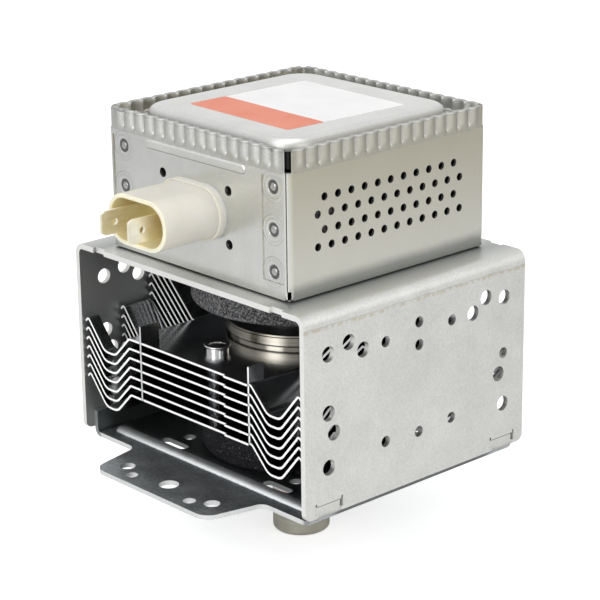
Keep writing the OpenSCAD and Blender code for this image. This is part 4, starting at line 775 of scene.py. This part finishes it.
# Painted reflection: a straw tint on the side walls, deeper towards the rim.
straw = bright.blend(upward + cloud * 0.3 - 0.15, rgb(0.66, 0.65, 0.59), rgb(0.43, 0.395, 0.285))
colour = bright.blend(side_face * 0.85, plain, straw)
colour = bright.blend(drawn.ramp(0.60, 0.75) * 0.10, colour, rgb(0.40, 0.40, 0.38))
bright.tell("tinted sheet")

# %% [markdown]
# Inside and underneath, the sheet is duller, and painted almost black as shade. Each clinch cup on the
# front is painted dark as shade between its button and its wall, with faint lines of painted shade
# where the die's rings end. The joints repeat at one pitch, so the distance from the nearest one comes
# from rounding the height to that pitch.

# %% Bright zinc: dark places and clinch cups
def radius_of(a, b):
    """Square root of a a + b b: how far a spot is from an axis, by its two lengths across it."""
    return (a * a + b * b).math("SQRT")


def in_square(a, b, half, soft):
    """1 where both lengths are less than half either way, 0 past it, over a soft border."""
    return abs(a).ramp(half, half - soft) * abs(b).ramp(half, half - soft)


SHEET_IN, HIDDEN_TOP = BOX_HALF - 0.72, RIM_TOP - 4.7
CUP_WALL, BUTTON_EDGE, RING_ENDS, RING_SOFT = 2.0, 0.85, (3.05, 4.0), 0.25
inside = in_square(x, y, SHEET_IN, 0.06)
# Painted shade: inside the box under the rim is near black, and faces turned down are black.
hidden = inside * z.ramp(HIDDEN_TOP, HIDDEN_TOP - 0.2)
colour = bright.blend(hidden, colour, grey(0.06))
colour = bright.blend(nz.ramp(-0.45, -0.65), colour, grey(0.015))
below_first = z - (RIM_TOP - CLINCH_DROP)
nearest = (below_first / CLINCH_PITCH).math("ROUND") * CLINCH_PITCH
from_clinch = radius_of(abs(x) - (BOX_HALF - CLINCH_IN), below_first - nearest)
at_front = y.ramp(-BOX_HALF + 1.4, -BOX_HALF + 1.0)
# Painted shade: the clinch cup is dark between its button and its wall, and the button is a little
# darker.
cup = from_clinch.ramp(CUP_WALL, CUP_WALL - 0.25) * from_clinch.ramp(BUTTON_EDGE, BUTTON_EDGE + 0.2)
colour = bright.blend(cup * at_front * 0.9, colour, grey(0.07))
button = from_clinch.ramp(BUTTON_EDGE + 0.15, BUTTON_EDGE)
colour = bright.blend(button * at_front * 0.6, colour, rgb(0.30, 0.30, 0.295))
# Painted shade: faint dark lines where the die's rings end.
first_ring, second_ring = (abs(from_clinch - end).ramp(RING_SOFT, 0.0) for end in RING_ENDS)
ring_line = (first_ring + second_ring) * 0.3
colour = bright.blend(ring_line * at_front, colour, rgb(0.25, 0.25, 0.245))
bright.tell("clinch cups")

# %% [markdown]
# The lower part of the sides carries a painted dark reflection, the slope of the lid mirrors the rim
# and so looks darker, and the pleats are smudged by the tool. Their crowns are painted darker as
# shade.
# At the corners a slot is open into the box, and what shows in it is painted dark as shade. The lid's
# round edge and the panel bead are a little rougher than the flats.

# %% Bright zinc: fold and lid
PLATEAU_REACH = PLATEAU_HALF + 1.4
# Painted reflection: a dark band along the lower part of the side walls.
low_side_reflection = side_face * (z + cloud * 1.5).ramp(FLOOR_TOP + 6.0, FLOOR_TOP + 3.2)
colour = bright.blend(low_side_reflection * 0.7, colour, rgb(0.27, 0.28, 0.27))
plateau = in_square(x, y, PLATEAU_REACH, 0.2)
slope = z.ramp(plateau_z - 0.25, plateau_z - 1.6) * z.ramp(CHANNEL_TOP - 0.3, CHANNEL_TOP)
colour = bright.blend(plateau * slope * 0.75, colour, rgb(0.27, 0.27, 0.265))
bright.tell("fold and lid")

# %% Bright zinc: rim and sheen
FOOT_SMUDGE = RIM_TOP - 6.3
pleated = z.ramp(FOOT_SMUDGE, FOOT_SMUDGE + 0.7) * (1 - plateau)
colour = bright.blend(pleated * (0.2 + smudge * 0.5), colour, rgb(0.36, 0.36, 0.34))
# Painted shade: the pleats' crowns are darker.
crown = z.ramp(RIM_TOP - 0.7, RIM_TOP - 0.4) * (1 - plateau)
colour = bright.blend(crown * 0.55, colour, rgb(0.30, 0.30, 0.29))
# Painted shade: the corners inside the box, seen through the slots, are black.
corner = (abs(x) + abs(y)).ramp(2 * BOX_HALF - 3.6, 2 * BOX_HALF - 2.6) * inside
corner = corner * (nx * x + ny * y).ramp(0.0, 5.0)
colour = bright.blend(corner, colour, grey(0.02))
on_bead = abs(z - (RIM_TOP - BEAD_DROP)).ramp(BEAD_HALF + 0.3, BEAD_HALF)
on_bead = on_bead * y.ramp(-BOX_HALF - 0.02, -BOX_HALF - 0.1)
soft = plateau * z.ramp(plateau_z - 0.02, plateau_z - 0.5) + on_bead
dull = pleated * 0.12 + crown * 0.15 + hidden * 0.4 + soft * 0.18
bright.set(Base_Color=colour, Roughness=0.18 + cloud * 0.08 + grain * 0.06 + dull)
bright.relief(drawn * 0.02 + grain * 0.06 + smudge * pleated * 0.5, 0.12)
dress(bright, "filter_box", "crimped_rim", "panel_bead", "clinch_joints", "floor_fold", "pressed_lid",
      "capacitor_ground_plate")

# %% [markdown]
# ## Rolled aluminium: the fins
# The flats of the fins are smooth rolled sheet, which mirrors the dark inside of the yoke, and their
# colour is painted darker than bare aluminium, as shade; their undersides are painted darker still.
# Their cut edges are rough and bright, and catch the light from the front as thin white lines. A face
# that looks along Y is a cut edge, so the facing direction tells the two apart, except on the round
# walls of the collar and the eyelets, which are known by their place. The collar's wall is painted a
# dark warm grey as shade, and black at its top.

# %% Fin aluminium
LEFT_EAR_X, COLLAR_TOP, COLLAR_REACH, EYELET_REACH = -19.95, 35.2, 21.0, 4.0
fins = Finish("fin_aluminium", Metallic=1.0)
nx, ny, nz = fins.axes(fins.facing)
x, y, z = fins.spot_mm()
cloud, rolled = fins.noise(12.0), fins.noise(0.4, stretch=(30, 1, 1), detail=2.0)
# Painted shade: the flats are darker than bare aluminium.
flat = fins.blend(cloud.ramp(0.3, 0.7), rgb(0.36, 0.365, 0.38), rgb(0.52, 0.525, 0.54))
# Painted shade: the undersides are darker still.
flat = fins.blend(nz.ramp(-0.3, -0.6), flat, rgb(0.10, 0.10, 0.11))
collar = radius_of(x, y).ramp(COLLAR_REACH, COLLAR_REACH - 0.8)
# Painted shade: the collar wall is dark warm grey, black at its top.
collar_shade = fins.blend(z.ramp(COLLAR_TOP - 0.5, COLLAR_TOP - 0.3),
                         rgb(0.34, 0.32, 0.27), grey(0.03))
flat = fins.blend(collar * abs(nz).ramp(0.5, 0.2), flat, collar_shade)
eyelet = in_square(x, abs(y) - EYELET_Y, EYELET_REACH, 0.1)
flat = fins.blend(eyelet * abs(nz).ramp(0.98, 0.8), flat, rgb(0.78, 0.78, 0.77))
edge = abs(ny).ramp(0.7, 0.9) * (1 - collar) * (1 - eyelet)
left_ear = abs(x - LEFT_EAR_X).ramp(0.75, 0.65)
fins.set(Base_Color=fins.blend(edge * (1 - left_ear * 0.75), flat, rgb(0.95, 0.95, 0.94)),
         Roughness=0.12 + rolled * 0.08 + edge * 0.35, Metallic=1.0 - edge * 0.65)
fins.relief(rolled, 0.0015)
dress(fins, "eyelet_lips", *["cooling_fin_%d" % i for i in range(1, 8)])

# %% [markdown]
# ## Sintered ferrite
# Ring magnets are pressed powder, fired: nearly black, dull, and peppered with small pale grains and
# pits. Scattered points give the grains, and a second, finer noise keeps them from looking alike.
# The lower ring is painted darker than the upper one, as the shade it lies in under the fins.

# %% Ferrite
BETWEEN_MAGNETS = (20.0, 15.0)
ferrite = Finish("sintered_ferrite", Metallic=0.0, Specular_IOR_Level=0.15)
grain, coarse = ferrite.noise(0.55, detail=4.0, rough=0.7), ferrite.noise(5.0)
pepper = ferrite.cells(0.9).ramp(0.34, 0.10) * grain.ramp(0.42, 0.62)
black = ferrite.blend(coarse.ramp(0.3, 0.7), rgb(0.018, 0.018, 0.020), rgb(0.05, 0.05, 0.052))
black = ferrite.blend(grain.ramp(0.47, 0.60) * 0.85, black, rgb(0.25, 0.25, 0.252))
x, y, z = ferrite.spot_mm()
# Painted shade: the lower ring, under the fins, is darker and its grains duller.
shaded_lower_ring = z.ramp(*BETWEEN_MAGNETS)
black = ferrite.blend(shaded_lower_ring * 0.93, black, rgb(0.004, 0.004, 0.006))
pepper = (pepper + shaded_lower_ring * grain.ramp(0.55, 0.75) * 0.3) * (0.85 - shaded_lower_ring * 0.6)
ferrite.set(Base_Color=ferrite.blend(pepper, black, grey(0.42)),
            Roughness=0.62 + grain * 0.25)
ferrite.relief(grain * 0.7 + pepper * 0.3, 0.08)
dress(ferrite, "upper_magnet", "lower_magnet", "left_choke_core", "right_choke_core")

# %% [markdown]
# ## Turned and drawn metal of the tube
# The steel shells are drawn and then turned, so fine rings run round the axis: a wave in the
# distance from the axis. The upper shell has a groove round its flange, painted as a dark line of
# shade, and above the flange it is painted dark as the magnet's shade. The copper of the anode is soft
# and dull, with a darker bloom. The pole pieces, the tungsten of the cathode and the cap each get
# their own colour and marks; the cap's tan colour is painted shade on its steel.

# %% Turned metal: the steel shells
def turned_metal(name, dark, light, rough, ring_mm, metallic=1.0):
    """Metal with rings round the tube's axis: noise in the distance from the axis, plus a bloom."""
    finish = Finish(name, Metallic=metallic)
    x, y, z = finish.spot_mm()
    line = finish.add("ShaderNodeCombineXYZ", inputs={0: radius_of(x, y) / ring_mm, 2: z / ring_mm})
    rings = finish.add("ShaderNodeTexNoise", inputs={"Vector": line, "Scale": 1.0, "Detail": 2.0})
    bloom = finish.noise(6.0)
    finish.colour = finish.blend((bloom * 0.6 + rings * 0.4).ramp(0.35, 0.65), dark, light)
    finish.set(Base_Color=finish.colour, Roughness=rough + bloom * 0.12 + rings * 0.06)
    finish.relief(rings, 0.010)
    return finish


FLANGE_TOP, FLANGE_R, GROOVE_DROP = 38.1, 20.0, 0.55
shell = turned_metal("drawn_shell", rgb(0.30, 0.28, 0.225), rgb(0.50, 0.475, 0.41), 0.20, 0.5)
x, y, z = shell.spot_mm()
from_rim = FLANGE_R - radius_of(x, y)
shaded = z.ramp(FLANGE_TOP - 0.06, FLANGE_TOP - 0.02) * from_rim.ramp(0.35, 0.5)
# Painted shade: a dark line round the flange where the groove is.
groove = abs(z - (FLANGE_TOP - GROOVE_DROP)).ramp(0.22, 0.1)
shell.set(Base_Color=shell.blend(shaded.math("MAXIMUM", groove * 0.9), shell.colour,
                                 grey(0.02)), Metallic=1.0 - shaded)
dress(shell, "filament_seal", "antenna_seal")

# %% Copper, iron, tungsten, cap and mesh
dress(turned_metal("bare_copper", rgb(0.46, 0.20, 0.12), rgb(0.80, 0.42, 0.28), 0.26, 0.6),
      "anode_block", "upper_strap_ring", "lower_strap_ring", "exhaust_tube", "antenna_lead_wire")
dress(turned_metal("plated_iron", rgb(0.36, 0.37, 0.39), rgb(0.52, 0.53, 0.55), 0.30, 0.7),
      "upper_pole_piece", "lower_pole_piece", "left_stem_terminal", "right_stem_terminal")
dress(turned_metal("drawn_tungsten", rgb(0.24, 0.24, 0.26), rgb(0.42, 0.42, 0.44), 0.36, 0.3),
      "filament_helix", "upper_end_shield", "lower_end_shield", "centre_lead", "side_lead")
# Painted shade: the cap's tan colour stands in for the shade on its steel.
dress(turned_metal("shaded_tan_cap", rgb(0.47, 0.45, 0.37), rgb(0.62, 0.60, 0.51), 0.34, 0.8, 0.5),
      "antenna_cap")
dress(turned_metal("mesh_wire", rgb(0.40, 0.40, 0.39), rgb(0.68, 0.68, 0.66), 0.28, 1.2),
      "knitted_gasket")

# %% [markdown]
# ## Ceramics
# The insulators are alumina: white, or blushed pink where it is brazed, with a thin glaze over
# slight mottles. The capacitor's block is a brown fired ceramic.

# %% Ceramics
def fired_ceramic(name, dark, light, glaze):
    """Mottled body under a clear coat that is thinner in places."""
    finish = Finish(name, Coat_Roughness=0.12)
    mottle, grain = finish.noise(3.0), finish.noise(0.4, detail=2.0)
    finish.set(Base_Color=finish.blend(mottle.ramp(0.3, 0.7), dark, light),
               Roughness=0.38 + grain * 0.18, Coat_Weight=glaze * (0.7 + mottle * 0.6))
    finish.relief(mottle * 0.6 + grain * 0.4, 0.02)
    return finish


dress(fired_ceramic("blushed_alumina", rgb(0.83, 0.75, 0.72), rgb(0.91, 0.86, 0.84), 0.5),
      "stem_ceramic", "antenna_ceramic")
dress(fired_ceramic("brown_dielectric", rgb(0.30, 0.17, 0.09), rgb(0.42, 0.26, 0.15), 0.3),
      "capacitor_ceramic")

# %% [markdown]
# ## Cream moulding
# The connector is moulded in a filled polyester: cream, with a soft sheen. Inside the mouth it is
# painted yellower, as the light that has been through the wall, and darker deeper in, as shade; the
# front face of the mouth is painted paler as a highlight. The inside is known by its place: within
# the case's own round-ended outline, and forward of the socket's floor.

# %% Cream moulding
cream = Finish("cream_moulding", Specular_IOR_Level=0.45, Subsurface_Weight=0.55,
               Subsurface_Radius=(1.0, 0.8, 0.42), Subsurface_Scale=2.2 * MM)
x, y, z = cream.spot_mm()
low, high = box_mm("capacitor_case")
axis_z, front_y = (low[2] + high[2]) / 2, low[1]
CASE_HALF_W, CASE_HALF_H, CASE_WALL, SOCKET_DEPTH = 11.6, 6.7, 1.1, 12.5
past_flat = (abs(x) - (CASE_HALF_W - CASE_HALF_H)).math("MAXIMUM", 0.0)
from_axis = radius_of(past_flat, z - axis_z)
inner_r = CASE_HALF_H - CASE_WALL
inside = from_axis.ramp(inner_r + 0.35, inner_r + 0.1)
depth = y.ramp(front_y, front_y + SOCKET_DEPTH)
flow, speck = cream.noise(10.0), cream.noise(0.35, detail=2.0)
outer = cream.blend(flow.ramp(0.3, 0.7), rgb(0.59, 0.57, 0.51), rgb(0.65, 0.63, 0.57))
# Painted light and shade inside the mouth: yellower near the front, darker deeper in.
inner = cream.blend(depth, rgb(0.76, 0.69, 0.44), rgb(0.68, 0.59, 0.30))
# Painted highlight: the front face of the mouth is paler.
mouth = y.ramp(front_y + 0.5, front_y + 0.1)
outer = cream.blend(mouth * 0.7, outer, rgb(0.84, 0.80, 0.62))
cream.set(Base_Color=cream.blend(inside, outer, inner), Roughness=0.36 + flow * 0.12 + speck * 0.05)
cream.relief(speck * 0.6 + flow * 0.4, 0.02)
dress(cream, "capacitor_case", "capacitor_inner_case")

# %% [markdown]
# ## Blades and wire
# The blades are brass under a thin coat of tin, so they are pale gold, with lines along their
# length and some yellow showing where the plug has rubbed. The choke wire is copper under a clear
# brown enamel, which is a coat on the shader.

# %% Tinned brass
blade = Finish("tinned_brass", Metallic=0.9)
drawn, worn = blade.noise(0.3, stretch=(1, 30, 1), detail=2.0), blade.noise(3.5)
tin = blade.blend(worn.ramp(0.35, 0.65), rgb(0.88, 0.83, 0.65), rgb(0.95, 0.92, 0.80))
blade.set(Base_Color=blade.blend(drawn.ramp(0.55, 0.75) * 0.4, tin, rgb(0.68, 0.58, 0.36)),
          Roughness=0.24 + worn * 0.12 + drawn * 0.1)
blade.relief(drawn, 0.01)
dress(blade, "left_terminal_tab", "right_terminal_tab")

# %% Enamelled wire
enamel = Finish("enamelled_wire", Metallic=0.8, Coat_Roughness=0.08)
shade = enamel.noise(2.0)
lacquer = enamel.blend(shade.ramp(0.3, 0.7), rgb(0.38, 0.13, 0.05), rgb(0.58, 0.25, 0.11))
enamel.set(Base_Color=lacquer, Roughness=0.30 + shade * 0.1, Coat_Weight=0.6 + shade * 0.3)
enamel.relief(shade, 0.02)
dress(enamel, "left_choke_winding", "right_choke_winding")

# %% [markdown]
# ## Coated paper
# The label has one coral field along its front and is white behind it. Its colour is a step in Y,
# made a little soft so that the border does not look cut, over fine fibres and a faint fading.

# %% Label paper
paper = Finish("label_paper", Specular_IOR_Level=0.4)
x, y, z = paper.spot_mm()
low, high = box_mm("paper_label")
CORAL_FIELD = 12.2
fibre, fade = paper.noise(0.5, stretch=(3, 1, 1), detail=2.0), paper.noise(14.0)
white = paper.blend(fade.ramp(0.3, 0.7), rgb(0.83, 0.83, 0.82), rgb(0.90, 0.90, 0.89))
coral = paper.blend(fade.ramp(0.3, 0.7), rgb(0.70, 0.20, 0.115), rgb(0.75, 0.26, 0.17))
across = y - x * math.tan(LABEL_TURN) - (low[1] + high[1]) / 2 + LABEL_HALF[1]
behind = across.ramp(CORAL_FIELD - 0.15, CORAL_FIELD + 0.15)
paper.set(Base_Color=paper.blend(behind, coral, white), Roughness=0.42 + fibre * 0.15)
paper.relief(fibre, 0.01)
dress(paper, "plain_label")

# %% [markdown]
# ## Floor, light and background
# The part stands on a pale floor, under five soft lamps: a large one in front and above, one on the
# right for the wall, one overhead for the lid, a smaller one in front for the edges of the fins, and
# a weak low one that reaches in under the top plate. The surround is a dim grey, so the inside of
# the yoke falls dark. The background is white where the camera or a reflection sees it: Light Path
# tells which ray asks.

# %% Lamps
def area_lamp(name, azimuth, elevation, distance, size, watts):
    """Square lamp at polar angles round the part, turned to face it."""
    a, e = math.radians(azimuth), math.radians(elevation)
    out = Vector((math.sin(a) * math.cos(e), -math.cos(a) * math.cos(e), math.sin(e)))
    data = bpy.data.lights.new(name, "AREA")
    data.size, data.energy = size, watts
    lamp = bpy.data.objects.new(name, data)
    lamp.location = AIM + out * distance
    lamp.rotation_euler = out.to_track_quat("Z", "Y").to_euler()
    scene.collection.objects.link(lamp)
    print("%s: %.1f W" % (name, watts))


area_lamp("key_lamp", 0, 50, 0.9, 0.6, 2.4)
area_lamp("right_lamp", 90, 25, 0.9, 0.7, 3.8)
area_lamp("top_lamp", 0, 88, 0.9, 0.6, 1.8)
area_lamp("front_lamp", 8, 24, 0.8, 0.35, 1.8)
area_lamp("low_lamp", 12, 7, 0.9, 0.3, 0.5)

# %% Floor
FLOOR_HALF, FLOOR_GAP = 6.0, 0.2 * MM
floor_z = cad_box[0][2] - FLOOR_GAP
floor_mesh = bpy.data.meshes.new("floor")
floor_mesh.from_pydata([(sx * FLOOR_HALF, sy * FLOOR_HALF, floor_z)
                        for sx, sy in ((-1, -1), (1, -1), (1, 1), (-1, 1))], [], [(0, 1, 2, 3)])
floor = bpy.data.objects.new("floor", floor_mesh)
scene.collection.objects.link(floor)
pale = Finish("pale_floor", Base_Color=rgb(0.86, 0.86, 0.855), Roughness=0.9)
seen = pale.add("ShaderNodeLightPath", out="Is Camera Ray")
pale.set(Emission_Color=pale.blend(seen, grey(0), grey(0.62)), Emission_Strength=1.0)
floor_mesh.materials.append(pale.material)
print("floor at %.1f mm" % (floor_z / MM))

# %% Background
SURROUND_LIGHT = 0.35
world = bpy.data.worlds.new("surround")
scene.world = world
world.use_nodes = True
air = Nodes(world.node_tree)
air.tree.nodes.remove(air.tree.nodes["Background"])
dim = air.add("ShaderNodeBackground",
              inputs={"Color": rgb(0.97, 0.98, 1.0), "Strength": SURROUND_LIGHT})
white = air.add("ShaderNodeBackground", inputs={"Color": grey(1), "Strength": 1.0})
asked = [air.add("ShaderNodeLightPath", out="Is %s Ray" % kind)
         for kind in ("Camera", "Transmission", "Glossy")]
shown = sum(asked[1:], asked[0]).math("MINIMUM", 1.0)
choice = air.add("ShaderNodeMixShader", inputs={0: shown, 1: dim, 2: white})
air.connect(choice, air.tree.nodes["World Output"].inputs["Surface"])
scene.view_settings.view_transform = "Standard"
print("surround:", len(air.tree.nodes), "nodes")
